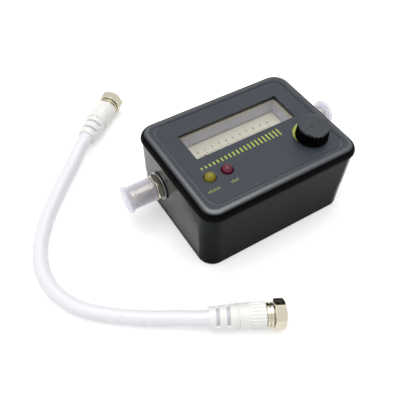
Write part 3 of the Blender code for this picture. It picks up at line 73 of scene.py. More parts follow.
# Edges sharper than a CREASE are rounded; those sharper than SHARP or NUT_SMOOTH are shaded crisp
CREASE = radians(40)
FLUTE_CREASE = radians(35)
LEAD_CREASE = radians(50)
NUT_CREASE = radians(20)
SHARP = radians(32)
NUT_SMOOTH = radians(25)
# Pitch of the F connector's thread and the plan place of the knob, mm
F_PITCH = 0.794
KNOB_PLACE = (24.0, -14.0)
WHITE = (1, 1, 1, 1)
# Length that a wave texture repeats over at a scale of 1
WAVE_LENGTH = TURN / 20

Section = Sequence[tuple[float, ...]]
Pair = tuple[float, float]
Outline = Sequence[Pair]
Place = tuple[float, float, float]
Colour = tuple[float, float, float, float]
Piece = bpy.types.Object
Tree = bpy.types.NodeTree
Node = bpy.types.Node
Socket = bpy.types.NodeSocket


# ---- bench: shaping pieces in edit mode


class Join(Enum):
    """What one piece does to another."""

    ADD = "UNION"
    CUT = "DIFFERENCE"
    KEEP = "INTERSECT"


def bench_clear() -> None:
    """Leaves edit mode and deselects everything."""
    if bpy.context.object and bpy.context.object.mode != "OBJECT":
        bpy.ops.object.mode_set(mode="OBJECT")
    bpy.ops.object.select_all(action="DESELECT")


def take(obj: Piece) -> None:
    """Makes a piece the only selected one, in object mode.

    Args:
        obj: The piece.
    """
    bench_clear()
    obj.select_set(True)
    bpy.context.view_layer.objects.active = obj


class Blank:
    """A piece of stock on the bench, shaped in edit mode from a primitive."""

    def __init__(self, name: str) -> None:
        """Takes the primitive that was just added as the stock.

        Args:
            name: The piece's name.
        """
        self.obj: Piece = bpy.context.object
        self.obj.name = self.obj.data.name = name
        bpy.ops.object.mode_set(mode="EDIT")
        bpy.ops.mesh.select_mode(type="VERT")
        bpy.ops.mesh.select_all(action="SELECT")

    @classmethod
    def plate(cls, name: str, half_x: float, half_y: float, height: float) -> "Blank":
        """Starts from a flat rectangle about the origin at a height, in mm.

        Args:
            name: The piece's name.
            half_x: Half its length along X, mm.
            half_y: Half its width along Y, mm.
            height: The height that it lies at, mm.

        Returns:
            The blank, a flat face.
        """
        bench_clear()
        bpy.ops.mesh.primitive_plane_add(size=2 * MM, location=(0, 0, 0))
        blank = cls(name)
        bpy.ops.transform.resize(value=(half_x, half_y, 1))
        bpy.ops.transform.translate(value=(0, 0, height * MM))
        return blank

    @classmethod
    def line(cls, name: str, points: Iterable[Vector], closed: bool = True) -> "Blank":
        """Starts from a point and draws it out along a line.

        Args:
            name: The piece's name.
            points: The line's points, mm.
            closed: Whether the line ends where it starts.

        Returns:
            The blank, a line of edges.
        """
        here, *rest = (point * MM for point in points)
        if closed:
            rest.append(here)
        bench_clear()
        bpy.ops.mesh.primitive_plane_add(size=MM, location=(0, 0, 0))
        blank = cls(name)
        bpy.ops.mesh.merge(type="CENTER")
        bpy.ops.transform.translate(value=here)
        for point in rest:
            bpy.ops.mesh.extrude_region_move(TRANSFORM_OT_translate={"value": point - here})
            here = point
        return blank

    def pick_face(self, height: float, facing: float) -> "Blank":
        """Selects the flat faces at a height in mm that look up (1) or down (-1).

        Args:
            height: Height of the faces, mm.
            facing: 1 for faces that look up, -1 for faces that look down.

        Returns:
            The blank, for the next step.
        """
        bpy.ops.mesh.select_all(action="SELECT")
        bpy.ops.mesh.normals_make_consistent(inside=False)
        bpy.ops.mesh.select_mode(type="FACE")
        bpy.ops.mesh.select_all(action="DESELECT")
        mesh = bmesh.from_edit_mesh(self.obj.data)
        for face in mesh.faces:
            level = abs(face.calc_center_median().z - height * MM) < SAME_LEVEL
            if level and face.normal.z * facing > FLAT:
                face.select_set(True)
        mesh.select_flush_mode()
        bmesh.update_edit_mesh(self.obj.data)
        return self

    def round_corners(self, radius: float, steps: int = 12) -> "Blank":
        """Rounds the plan corners of a flat plate by a radius in mm.

        Args:
            radius: Radius of the corners, mm.
            steps: Segments in each corner.

        Returns:
            The blank, for the next step.
        """
        bpy.ops.mesh.bevel(
            offset=radius * MM, offset_type="OFFSET", segments=steps, affect="VERTICES", clamp_overlap=True
        )
        bpy.ops.mesh.select_all(action="SELECT")
        return self

    def pull(self, distance: float, scale: Pair = (1.0, 1.0)) -> "Blank":
        """Extrudes the selected faces along Z by a distance in mm, and scales them in plan.

        Args:
            distance: How far, mm: downwards where it is negative.
            scale: Scale along X and Y about the origin.

        Returns:
            The blank, for the next step.
        """
        bpy.ops.mesh.extrude_region_move(TRANSFORM_OT_translate={"value": (0, 0, distance * MM)})
        if scale != (1.0, 1.0):
            bpy.ops.transform.resize(value=(*scale, 1), center_override=(0, 0, 0))
        return self

    def inset(self, thickness: float, depth: float = 0.0) -> "Blank":
        """Insets the selected faces, and moves them along their normal, in mm."""
        bpy.ops.mesh.inset(thickness=thickness * MM, depth=depth * MM, use_even_offset=True)
        return self

    def round_over(self, across: float, rise: float, steps: int) -> "Blank":
        """Rounds the edge of the selected face: in by across and out by rise, in mm.

        Args:
            across: How far the rounding goes in, mm.
            rise: How far it goes out, mm.
            steps: Segments in the rounding.

        Returns:
            The blank, for the next step.
        """
        for i in range(steps):
            a, b = pi / 2 * i / steps, pi / 2 * (i + 1) / steps
            self.inset(across * (cos(a) - cos(b)), rise * (sin(b) - sin(a)))
        return self

    def fill(self) -> "Blank":
        """Closes a drawn outline with a face.

        Returns:
            The blank, for the next step.
        """
        bpy.ops.mesh.select_all(action="SELECT")
        bpy.ops.mesh.remove_doubles(threshold=WELD)
        bpy.ops.mesh.edge_face_add()
        return self

    def spin(self, steps: int) -> "Blank":
        """Spins what was drawn once round the Z axis.

        Args:
            steps: Segments in the whole turn.

        Returns:
            The blank, for the next step.
        """
        bpy.ops.mesh.select_all(action="SELECT")
        bpy.ops.mesh.spin(steps=steps, angle=TURN, center=(0, 0, 0), axis=(0, 0, 1), use_auto_merge=True)
        return self

    def done(self, seat: Matrix | None = None) -> Piece:
        """Merges doubles, turns faces outwards and puts the piece in its place, if one is given.

        Args:
            seat: Where the piece goes.

        Returns:
            The finished mesh piece.
        """
        bpy.ops.mesh.select_all(action="SELECT")
        bpy.ops.mesh.remove_doubles(threshold=WELD)
        bpy.ops.mesh.normals_make_consistent(inside=False)
        return settle(self.obj, seat)


def settle(obj: Piece, seat: Matrix | None = None) -> Piece:
    """Applies a piece's place to its mesh, after moving it by seat.

    Args:
        obj: The piece.
        seat: Where it goes, from where it is.

    Returns:
        The same piece, with its object at the origin.
    """
    take(obj)
    if seat is not None:
        obj.matrix_world = seat @ obj.matrix_world
        bpy.context.view_layer.update()
    bpy.ops.object.transform_apply(location=True, rotation=True, scale=True)
    return obj


def upright(x: float, y: float, z: float = 0.0) -> Matrix:
    """The seat of a piece that stands along Z at a plan place, in mm."""
    return Matrix.Translation(Vector((x, y, z)) * MM)


def lying(x: float, y: float, z: float, heading: float, roll: float = 0.0) -> Matrix:
    """The seat of a piece that lies along a level heading.

    Args:
        x: Place along X, mm.
        y: Place along Y, mm.
        z: Height of its axis, mm.
        heading: Direction of its axis in plan, from +X, radians.
        roll: Turn about its own axis, radians.

    Returns:
        The matrix that takes the piece's own Z to its axis and its own Y to up.
    """
    basis = Matrix(((0, 0, 1, 0), (1, 0, 0, 0), (0, 1, 0, 0), (0, 0, 0, 1)))
    return upright(x, y, z) @ Matrix.Rotation(heading, 4, "Z") @ basis @ Matrix.Rotation(roll, 4, "Z")


def rod(low: float, high: float, radius: float) -> Section:
    """The section of a plain rod between two heights."""
    return [(low, 0), (low, radius), (high, radius), (high, 0)]


def oblong(left: float, right: float, front: float, back: float) -> Outline:
    """The outline of a rectangle."""
    return [(left, front), (right, front), (right, back), (left, back)]


def eased(section: Section, steps: int = 3) -> list[Pair]:
    """Rounds the corners of a section.

    Args:
        section: Points of (along, radius) or (along, radius, corner radius), in mm.
        steps: Segments in each rounded corner.

    Returns:
        The section's (along, radius) points, corners rounded where one was asked for.
    """
    points: list[Pair] = []
    last = len(section) - 1
    looped = section[0][1] > 0
    for i, corner in enumerate(section):
        here = Vector(corner[:2])
        ease = corner[2] if len(corner) > 2 else 0.0
        if not ease or (not looped and i in (0, last)):
            points.append(tuple(here))
            continue
        before = Vector(section[i - 1][:2]) - here
        after = Vector(section[(i + 1) % len(section)][:2]) - here
        reach = min(ease, before.length * NEARLY_HALF, after.length * NEARLY_HALF)
        start, end = here + before.normalized() * reach, here + after.normalized() * reach
        for step in range(steps + 1):
            t = step / steps
            points.append(tuple(start * (1 - t) ** 2 + here * 2 * t * (1 - t) + end * t ** 2))
    return points


def turned(
    name: str, section: Section, seat: Matrix | None = None, sides: int = ROUND_SIDES, steps: int = 3
) -> Piece:
    """Turns a piece on the lathe from its section.

    Args:
        name: The piece's name.
        section: (along, radius, corner radius) points in mm, from axis to axis or closed on itself.
        seat: Where the piece goes.
        sides: Segments round the axis.
        steps: Segments in each rounded corner.

    Returns:
        The finished mesh piece.
    """
    line = [Vector((radius, 0, along)) for along, radius in eased(section, steps)]
    return Blank.line(name, line, section[0][1] > 0).spin(sides).done(seat)


def outlined(name: str, outline: Outline, bottom: float, top: float, seat: Matrix | None = None) -> Piece:
    """Draws a plan outline in mm and pulls it up between two heights."""
    blank = Blank.line(name, [Vector((x, y, bottom)) for x, y in outline]).fill()
    return blank.pull(top - bottom).done(seat)


def scrap(obj: Piece) -> None:
    """Throws a tool or a pattern away."""
    bpy.data.objects.remove(obj, do_unlink=True)


def reshape(obj: Piece, kind: str, **settings: object) -> Piece:
    """Puts a modifier with its settings on a piece and applies it.

    Args:
        obj: The piece.
        kind: The modifier's type.
        settings: The modifier's own settings.

    Returns:
        The same piece, changed.
    """
    take(obj)
    change = obj.modifiers.new(kind.lower(), kind)
    for key, value in settings.items():
        setattr(change, key, value)
    bpy.ops.object.modifier_apply(modifier=change.name)
    return obj


def combine(obj: Piece, tool: Piece, how: Join = Join.CUT) -> Piece:
    """Cuts, joins or trims a piece with a tool, which is used up.

    Args:
        obj: The piece that stays.
        tool: The piece that is used up.
        how: Whether the tool cuts, joins or trims.

    Returns:
        The first piece, changed.
    """
    reshape(obj, "BOOLEAN", operation=how.value, solver="EXACT", object=tool)
    scrap(tool)
    return obj


def gather(pieces: Sequence[Piece], name: str) -> Piece:
    """Joins pieces into the first one, as separate shells, and names it.

    Args:
        pieces: The pieces, of which the first takes in the others.
        name: The joined piece's name.

    Returns:
        The joined piece.
    """
    take(pieces[0])
    for piece in pieces[1:]:
        piece.select_set(True)
    bpy.ops.object.join()
    pieces[0].name = name
    return pieces[0]


def copied(obj: Piece, name: str, seat: Matrix) -> Piece:
    """A copy of a piece with its own mesh, moved by seat.

    Args:
        obj: The piece to copy.
        name: The copy's name.
        seat: Where the copy goes, from the piece's own place.

    Returns:
        The copy.
    """
    twin = obj.copy()
    twin.data = obj.data.copy()
    twin.name = twin.data.name = name
    bpy.context.scene.collection.objects.link(twin)
    return settle(twin, seat)


def ringed(first: Piece, count: int) -> Piece:
    """A piece repeated round the Z axis, as one tool.

    Args:
        first: The piece, at its place off the axis.
        count: How many the ring has.

    Returns:
        All of them as one piece.
    """
    turns = [Matrix.Rotation(TURN * i / count, 4, "Z") for i in range(1, count)]
    others = [copied(first, f"{first.name}_{i}", turn) for i, turn in enumerate(turns)]
    return gather([first, *others], first.name)


def split_faces(obj: Piece) -> Piece:
    """Splits the faces that wrap round an opening into plain convex ones.

    Args:
        obj: The piece.

    Returns:
        The same piece.
    """
    take(obj)
    bpy.ops.object.mode_set(mode="EDIT")
    bpy.ops.mesh.select_all(action="SELECT")
    bpy.ops.mesh.vert_connect_concave()
    bench_clear()
    return obj


def break_edges(obj: Piece, width: float, segments: int = 2, angle: float = CREASE) -> None:
    """Rounds every sharp edge of a piece by a width in mm.

    Args:
        obj: The piece.
        width: Width of the rounding, mm.
        segments: Segments in the rounding.
        angle: Edges sharper than this are rounded, radians.
    """
    reshape(
        obj, "BEVEL", width=width * MM, segments=segments, limit_method="ANGLE", angle_limit=angle,
        use_clamp_overlap=True, miter_outer="MITER_ARC",
    )


def threaded(name: str, radius: float, pitch: float, start: float, end: float) -> Piece:
    """Winds a screw thread's ridge round the Z axis.

    Args:
        name: The piece's name.
        radius: Crest radius, mm.
        pitch: Distance between crests, mm.
        start: Where the ridge begins along the axis, mm.
        end: Where it ends, mm.

    Returns:
        A closed helical ridge, sunk a little into the bar that it stands on.
    """
    root = radius - pitch * THREAD_DEPTH
    corners = [(root, 0.0), (radius, 0.4), (radius, 0.5), (root, 0.9)]
    obj = Blank.line(name, [Vector((x, 0, start + pitch * share)) for x, share in corners]).done()
    turns = int((end - start) / pitch) - 1
    reshape(
        obj, "SCREW", axis="Z", screw_offset=pitch * MM, iterations=turns, steps=THREAD_STEPS,
        render_steps=THREAD_STEPS,
    )
    bpy.ops.object.mode_set(mode="EDIT")
    bpy.ops.mesh.select_mode(type="EDGE")
    bpy.ops.mesh.select_all(action="SELECT")
    bpy.ops.mesh.region_to_loop()
    bpy.ops.mesh.edge_face_add()
    bpy.ops.mesh.select_all(action="SELECT")
    bpy.ops.mesh.normals_make_consistent(inside=False)
    bench_clear()
    return obj


def hex_nut(name: str, flats: float, start: float, end: float, ease: float, bore: Section) -> Piece:
    """A hexagon nut with chamfered corners, its flats facing up and down, along its own Z.

    Args:
        name: The piece's name.
        flats: Width across its flats, mm.
        start: Where it begins along the axis, mm.
        end: Where it ends, mm.
        ease: Width of its broken edges, mm.
        bore: Section of what is cut from its middle, mm.

    Returns:
        The bored nut.
    """
    corner, chamfer, past = flats / sqrt(3), radians(30), 0.2
    bench_clear()
    bpy.ops.mesh.primitive_cylinder_add(
        vertices=6, radius=corner * MM, depth=(end - start) * MM,
        location=(0, 0, (start + end) / 2 * MM), rotation=(0, 0, TURN / 12),
    )
    bar = Blank(name).done()
    face = flats / 2 * NUT_FACE
    rise = (corner - face) * tan(chamfer) * (1 + past)
    brim = corner + (corner - face) * past
    form = [(start, 0), (start, face), (start + rise, brim), (end - rise, brim), (end, face), (end, 0)]
    combine(bar, turned("chamfer_form", form), Join.KEEP)
    break_edges(bar, ease, angle=NUT_CREASE)
    return combine(bar, turned("nut_bore", bore))


def finish_piece(
    obj: Piece, finish: "Finish", body: str, replaces: str | None = None,
    smooth: float = SHARP,
) -> None:
    """Gives a piece its shading, its material and the body that it rides on.

    Args:
        obj: The finished mesh or curve.
        finish: What it is made of.
        body: The CAD body that carries it.
        replaces: The CAD node that it stands for.
        smooth: Edges sharper than this angle stay crisp.
    """
    if obj.type == "MESH":
        take(obj)
        bpy.ops.object.shade_smooth_by_angle(angle=smooth)
        reshape(obj, "WEIGHTED_NORMAL", keep_sharp=True)
    obj.data.materials.clear()
    obj.data.materials.append(finish.material())
    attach(obj, body)
    if replaces:
        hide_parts(replaces)
    bench_clear()


def dress(finishes: dict[str, "Finish"]) -> None:
    """Gives CAD nodes that stay their materials.

    Args:
        finishes: The name of each node, and what it is made of.
    """
    for node, finish in finishes.items():
        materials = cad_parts[node].data.materials
        materials.clear()
        materials.append(finish.material())


def print_strokes(name: str, ink: "Finish", width: float, film: Pair, strokes: Iterable[Place]) -> None:
    """Prints upright strokes: one is modelled, the others are copied and stretched from their foot.

    Args:
        name: The piece's name.
        ink: What they are printed in.
        width: Width of a stroke, mm.
        film: Heights between which the ink lies, mm.
        strokes: Place of each foot along X and Y and the stroke's length, mm.
    """
    first = outlined("stroke", oblong(-width / 2, width / 2, 0, 1), *film)
    made = [
        copied(first, f"stroke_{i}", upright(x, y) @ Matrix.Diagonal((1, length, 1, 1)))
        for i, (x, y, length) in enumerate(strokes)
    ]
    scrap(first)
    finish_piece(gather(made, name), ink, "case")


# ---- finishes


def colour_of(code: str) -> Colour:
    """An sRGB hex colour as linear RGBA."""
    channels = [int(code[i:i + 2], 16) / 255 for i in (0, 2, 4)]
    return (*[c / 12.92 if c <= 0.04045 else ((c + 0.055) / 1.055) ** 2.4 for c in channels], 1.0)


def add_node(tree: Tree, kind: str, inputs: dict | None = None, **settings: object) -> Node:
    """Adds a node with its settings, values and links.

    Args:
        tree: The node tree.
        kind: The node's type.
        inputs: Input name or number to a value, or to the socket that feeds it.
        settings: The node's own settings.

    Returns:
        The node.
    """
    node = tree.nodes.new(kind)
    for key, value in settings.items():
        setattr(node, key, value)
    for key, value in (inputs or {}).items():
        if isinstance(value, Socket):
            tree.links.new(value, node.inputs[key])
        else:
            node.inputs[key].default_value = value
    return node


@dataclass(frozen=True)
class Finish:
    """What a piece is made of: a base of colour and gloss with its surface pattern.

    The pattern is noise of a grain size in mm: it shades the colour between two values, varies the
    roughness and raises a fine relief.
    """

    name: str
    colour: str
    second: str
    roughness: float
    grain: float = 0.4
    relief: float = 0.01
    gloss_spread: float = 0.06
    metallic: float = 0.0
    ior: float = 1.5
    reflect: float = 0.5
    detail: float = 3.0
    # The broad pattern: its size in grains, its own detail and the part of its range that shows
    broad_grains: float = 24.0
    broad_detail: float = 2.0
    broad_range: Pair = (0.3, 0.7)
    bump_strength: float = 0.6

    def material(self) -> bpy.types.Material:
        """The material, made once and then shared.

        Returns:
            The shared material.
        """
        made = bpy.data.materials.get(self.name)
        if not made:
            made = bpy.data.materials.new(self.name)
            made.use_nodes = True
            shader = made.node_tree.nodes["Principled BSDF"]
            shader.inputs["Metallic"].default_value = self.metallic
            if not self.metallic:
                shader.inputs["IOR"].default_value = self.ior
                shader.inputs["Specular IOR Level"].default_value = self.reflect
            self.paint(made.node_tree, shader)
        return made

    def pattern(self, tree: Tree, size: float, detail: float) -> Socket:
        """Noise of a size in mm on the piece's own coordinates.

        Args:
            tree: The material's node tree.
            size: Size of the grain, mm.
            detail: How many finer layers it has.

        Returns:
            The socket that gives the noise.
        """
        place = add_node(tree, "ShaderNodeTexCoord").outputs["Object"]
        scale = {"Vector": place, "Scale": 1 / (size * MM), "Detail": detail}
        return add_node(tree, "ShaderNodeTexNoise", scale).outputs["Fac"]

    def above(self, tree: Tree, low: float, high: float) -> Socket:
        """A mask on the piece's own height in mm: 0 below low, 1 above high.

        Args:
            tree: The material's node tree.
            low: Height where the mask is 0, mm.
            high: Height where it is 1, mm.

        Returns:
            The socket that gives the mask.
        """
        place = add_node(tree, "ShaderNodeTexCoord").outputs["Object"]
        height = add_node(tree, "ShaderNodeSeparateXYZ", {"Vector": place}).outputs["Z"]
        limits = {"Value": height, "From Min": low * MM, "From Max": high * MM}
        return add_node(tree, "ShaderNodeMapRange", limits).outputs["Result"]

    def slanted(self, tree: Tree, low: float, high: float) -> Socket:
        """A mask on the viewing slant: 0 at low, 1 at high.

        Args:
            tree: The material's node tree.
            low: Slant where the mask is 0.
            high: Slant where it is 1.

        Returns:
            The socket that gives the mask.
        """
        slant = add_node(tree, "ShaderNodeLayerWeight", {"Blend": 0.5}).outputs["Facing"]
        limits = {"Value": slant, "From Min": low, "From Max": high}
        return add_node(tree, "ShaderNodeMapRange", limits).outputs["Result"]

    def shade(self, tree: Tree, shader: Node, share: Socket, low: str, high: str) -> None:
        """Colours the piece between two values by a mask.

        Args:
            tree: The material's node tree.
            shader: Its main shader.
            share: The mask.
            low: Colour where the mask is 0.
            high: Colour where it is 1.
        """
        ends = {0: share, 6: colour_of(low), 7: colour_of(high)}
        tone = add_node(tree, "ShaderNodeMix", ends, data_type="RGBA")
        tree.links.new(tone.outputs[2], shader.inputs["Base Color"])

    def blend(self, tree: Tree, target: Socket, share: Socket, other: float | Colour) -> None:
        """Blends what feeds a shader's input towards another value, where share falls to 0.

        Args:
            tree: The material's node tree.
            target: The shader's input.
            share: The mask.
            other: The value where the mask is 0.
        """
        fed = target.links[0].from_socket if target.links else target.default_value
        if isinstance(other, tuple):
            both = add_node(tree, "ShaderNodeMix", {0: share, 6: other, 7: fed}, data_type="RGBA")
        else:
            both = add_node(tree, "ShaderNodeMix", {0: share, 2: other, 3: fed})
        tree.links.new(both.outputs[2 if isinstance(other, tuple) else 0], target)

    def paint(self, tree: Tree, shader: Node) -> None:
        """Joins the pattern to colour, roughness and relief.

        Args:
            tree: The material's node tree.
            shader: Its main shader.
        """
        fine = self.pattern(tree, self.grain, self.detail)
        broad = self.pattern(tree, self.grain * self.broad_grains, self.broad_detail)
        self.shade(tree, shader, broad, self.colour, self.second)
        low, high = self.broad_range
        least, most = self.roughness - self.gloss_spread, self.roughness + self.gloss_spread
        limits = {"Value": broad, "From Min": low, "From Max": high, "To Min": least, "To Max": most}
        gloss = add_node(tree, "ShaderNodeMapRange", limits)
        tree.links.new(gloss.outputs["Result"], shader.inputs["Roughness"])
        if self.relief:
            height = {"Height": fine, "Strength": self.bump_strength, "Distance": self.relief * MM}
            bump = add_node(tree, "ShaderNodeBump", height)
            tree.links.new(bump.outputs["Normal"], shader.inputs["Normal"])


@dataclass(frozen=True)
class ClearFinish(Finish):
    """A see-through plastic: it bends what is behind it and lets lamps through, tinted."""

    transmission: float = 1.0
    shadow: str = "ffffff"

    def paint(self, tree: Tree, shader: Node) -> None:
        """Clears the surface and adds a tinted pass for lamp rays.

        Args:
            tree: The material's node tree.
            shader: Its main shader.
        """
        super().paint(tree, shader)
        shader.inputs["Transmission Weight"].default_value = self.transmission
        lamp_ray = add_node(tree, "ShaderNodeLightPath").outputs["Is Shadow Ray"]
        tint = add_node(tree, "ShaderNodeBsdfTransparent", {"Color": colour_of(self.shadow)})
        layers = {0: lamp_ray, 1: shader.outputs["BSDF"], 2: tint.outputs["BSDF"]}
        both = add_node(tree, "ShaderNodeMixShader", layers)
        tree.links.new(both.outputs["Shader"], tree.nodes["Material Output"].inputs["Surface"])


@dataclass(frozen=True)
class VeilFinish(Finish):
    """A thin see-through wall: what is behind it shows through a veil, thicker at a slant."""

    tint: str = "ffffff"
    veil: float = 0.05
    thickening: float = 0.3
    thickest: float = 0.9

    def paint(self, tree: Tree, shader: Node) -> None:
        """Lays the surface over a clear pass.

        Args:
            tree: The material's node tree.
            shader: Its main shader.
        """
        super().paint(tree, shader)
        clear = add_node(tree, "ShaderNodeBsdfTransparent", {"Color": colour_of(self.tint)})
        slant = add_node(tree, "ShaderNodeLayerWeight", {"Blend": self.thickening}).outputs["Facing"]
        limits = {"Value": slant, "To Min": self.veil, "To Max": self.thickest}
        share = add_node(tree, "ShaderNodeMapRange", limits)
        layers = {0: share.outputs["Result"], 1: clear.outputs["BSDF"], 2: shader.outputs["BSDF"]}
        both = add_node(tree, "ShaderNodeMixShader", layers)
        tree.links.new(both.outputs["Shader"], tree.nodes["Material Output"].inputs["Surface"])


@dataclass(frozen=True)
class LidFinish(Finish):
    """Lid plastic from one mould: a spark-eroded top, a polished shoulder and a skirt painted near-black.

    The skirt's near-black is painted dark reflection, darker than the plastic itself; where the shoulder turns
    away from the eye, its colour and gloss are painted down to that black too.
    """

    top: Pair = (36.80, 36.96)
    shoulder: Pair = (36.0, 36.65)
    shoulder_roughness: float = 0.28
    shoulder_reflect: float = 1.0
    # Painted dark reflection: the skirt's near-black colour, not the plastic's own
    skirt: str = "060607"
    skirt_reflect: float = 0.03
    # Viewing slants over which colour and gloss are painted down to the skirt's black
    away: Pair = (0.72, 0.4)

    def paint(self, tree: Tree, shader: Node) -> None:
        """Keeps the texture on the top, polishes the shoulder, and paints the skirt and the shoulder's far
        slope as dark reflection.

        Args:
            tree: The material's node tree.
            shader: Its main shader.
        """
        super().paint(tree, shader)
        base, gloss = shader.inputs["Base Color"], shader.inputs["Specular IOR Level"]
        top, shoulder = self.above(tree, *self.top), self.above(tree, *self.shoulder)
        black = colour_of(self.skirt)
        self.blend(tree, shader.inputs["Roughness"], top, self.shoulder_roughness)
        self.blend(tree, gloss, top, self.shoulder_reflect)
        # Painted dark reflection: below the shoulder, gloss and colour fall to the skirt's black
        self.blend(tree, gloss, shoulder, self.skirt_reflect)
        self.blend(tree, base, shoulder, black)
        # Painted dark reflection again, where the surface turns away from the eye
        facing = self.slanted(tree, *self.away)
        clear_of_painted_dark = add_node(tree, "ShaderNodeMath", {0: facing, 1: top}, operation="MAXIMUM").outputs[0]
        self.blend(tree, gloss, clear_of_painted_dark, 0.0)
        self.blend(tree, base, clear_of_painted_dark, black)
        faded = add_node(tree, "ShaderNodeMath", {0: top, 1: self.bump_strength}, operation="MULTIPLY")
        tree.links.new(faded.outputs[0], shader.inputs["Normal"].links[0].from_node.inputs["Strength"])


@dataclass(frozen=True)
class TrayFinish(Finish):
    """Tray plastic: satin walls whose gloss grows at grazing angles, with painted shade that darkens their
    colour and gloss towards the foot.
    """

    # Painted shade: towards the foot the colour falls to this darker one and the gloss to foot_reflect, over
    # the heights in walls
    foot: str = "0b0e11"
    walls: Pair = (2.0, 30.0)
    slants: Pair = (0.69, 0.725)
    grazing_reflect: float = 0.9
    foot_reflect: float = 0.016

    def paint(self, tree: Tree, shader: Node) -> None:
        """Lets the gloss follow the viewing slant, and paints shade by height: colour and gloss fall towards
        the foot.

        Args:
            tree: The material's node tree.
            shader: Its main shader.
        """
        super().paint(tree, shader)
        gloss = shader.inputs["Specular IOR Level"]
        rise = self.above(tree, *self.walls)
        # Painted shade: the walls' colour darkens towards the foot
        self.blend(tree, shader.inputs["Base Color"], rise, colour_of(self.foot))
        gloss.default_value = self.grazing_reflect
        self.blend(tree, gloss, self.slanted(tree, *self.slants), self.reflect)
        self.blend(tree, gloss, rise, self.foot_reflect)


@dataclass(frozen=True)
class TubFinish(Finish):
    """The meter's tub: grey-lilac walls, with a painted highlight: a cream band along their top as the lit
    edge.
    """

    # Painted highlight: the cream of the band along the walls' top, lighter than the walls as if lit
    rim: str = "dcd8c2"
    rim_foot: float = 33.2
    rim_fade: float = 0.1

    def paint(self, tree: Tree, shader: Node) -> None:
        """Paints the lit cream band along the walls' top.

        Args:
            tree: The material's node tree.
            shader: Its main shader.
        """
        super().paint(tree, shader)
        # Painted highlight: a cream band along the walls' top, where they would catch the light
        walls = self.above(tree, self.rim_foot + self.rim_fade, self.rim_foot)
        self.blend(tree, shader.inputs["Base Color"], walls, colour_of(self.rim))


@dataclass(frozen=True)
class WoundFinish(Finish):
    """Enamelled copper wire laid turn by turn: fine ridges across the winding."""

    pitch: float = 0.2
    direction: str = "X"

    def paint(self, tree: Tree, shader: Node) -> None:
        """Adds the turns of wire as bands of shade and relief.

        Args:
            tree: The material's node tree.
            shader: Its main shader.
        """
        super().paint(tree, shader)
        place = add_node(tree, "ShaderNodeTexCoord").outputs["Object"]
        scale = {"Vector": place, "Scale": WAVE_LENGTH / (self.pitch * MM)}
        turns = add_node(tree, "ShaderNodeTexWave", scale, bands_direction=self.direction).outputs["Fac"]
        self.shade(tree, shader, turns, self.second, self.colour)
        tree.links.new(turns, shader.inputs["Normal"].links[0].from_node.inputs["Height"])


@dataclass(frozen=True)
class BoardFinish(Finish):
    """Solder mask over copper: raised tracks in squared runs."""

    track: float = 2.6
    border: Pair = (0.38, 0.42)

    def paint(self, tree: Tree, shader: Node) -> None:
        """Draws the tracks as the borders of squared cells.

        Args:
            tree: The material's node tree.
            shader: Its main shader.
        """
        super().paint(tree, shader)
        place = add_node(tree, "ShaderNodeTexCoord").outputs["Object"]
        scale = {"Vector": place, "Scale": 1 / (self.track * MM)}
        cells = add_node(tree, "ShaderNodeTexVoronoi", scale, feature="F1", distance="CHEBYCHEV")
        low, high = self.border
        limits = {"Value": cells.outputs["Distance"], "From Min": low, "From Max": high}
        lines = add_node(tree, "ShaderNodeMapRange", limits).outputs["Result"]
        self.shade(tree, shader, lines, self.colour, self.second)
        tree.links.new(lines, shader.inputs["Normal"].links[0].from_node.inputs["Height"])


# ABS, injection moulded: the top carries a fine spark-eroded texture, its grey partly a painted sheen;
# the shoulder is polished, and the skirt below it is painted near-black as dark reflection
LID_ABS = LidFinish("abs_black_textured", "333840", "393e46", 0.42, grain=0.35, relief=0.012, ior=1.53,
                    reflect=0.28)
# ABS, moulded with satin walls: they mirror only at a slant, and are painted darker towards the foot as shade
TRAY_ABS = TrayFinish("abs_black_satin", "12171b", "161b1f", 0.27, grain=0.9, relief=0.003, ior=1.53,
                      reflect=0.04)
# ABS again, from a finely bead-blasted mould: soft highlights under a polished rim; its top grey is partly a
# painted sheen, and its sides are painted near-black as dark reflection
KNOB_ABS = LidFinish("abs_knob_blasted", "2a2f37", "30353d", 0.36, grain=0.25, relief=0.008, ior=1.53,
                     reflect=0.4, top=(43.9, 44.1), shoulder=(42.8, 43.6))
# Acrylic sheet, cast and cut: clear, with a thin mirror on its faces
LENS_ACRYLIC = VeilFinish("acrylic_clear_sheet", "f4f4f8", "ffffff", 0.03, grain=3.0, relief=0.0,
                          gloss_spread=0.01, metallic=1.0, tint="f8f8fa", veil=0.01, thickening=0.03)
# Polystyrene, moulded: matt grey-lilac inner walls of the meter, with a cream band painted along their top as
# the lit edge
TUB_STYRENE = TubFinish("polystyrene_lilac_moulded", "d2d0da", "c8c6d0", 0.55, grain=0.5, relief=0.01, ior=1.59)
# Coated card, printed: fine paper fibre in a warm cream
SCALE_CARD = Finish("card_coated_cream", "ecead0", "e4e2c8", 0.62, grain=0.12, relief=0.004, detail=6.0)
# Ink on card, printed flat and dull
SCALE_INK = Finish("ink_grey_printed", "6c6b5e", "5c5b50", 0.7, grain=0.1, relief=0.0)
# Ink on plastic, screen printed: slightly proud, semi-matt, with a faint unevenness of cover
LID_INK = Finish("ink_lime_screen_printed", "aeba50", "a0ac47", 0.5, grain=0.15, relief=0.006)
# Nickel plate over turned brass: bright and a little warm, with a faint grain
NICKEL = Finish("nickel_plated_brass", "d6cfbe", "c4bca8", 0.17, grain=0.12, relief=0.0008, metallic=1.0,
                gloss_spread=0.05)
# Zinc plate on pressed steel: greyer and duller than nickel
ZINC = Finish("zinc_plated_steel", "aeb0b2", "9c9ea1", 0.36, grain=0.6, relief=0.004, metallic=1.0)
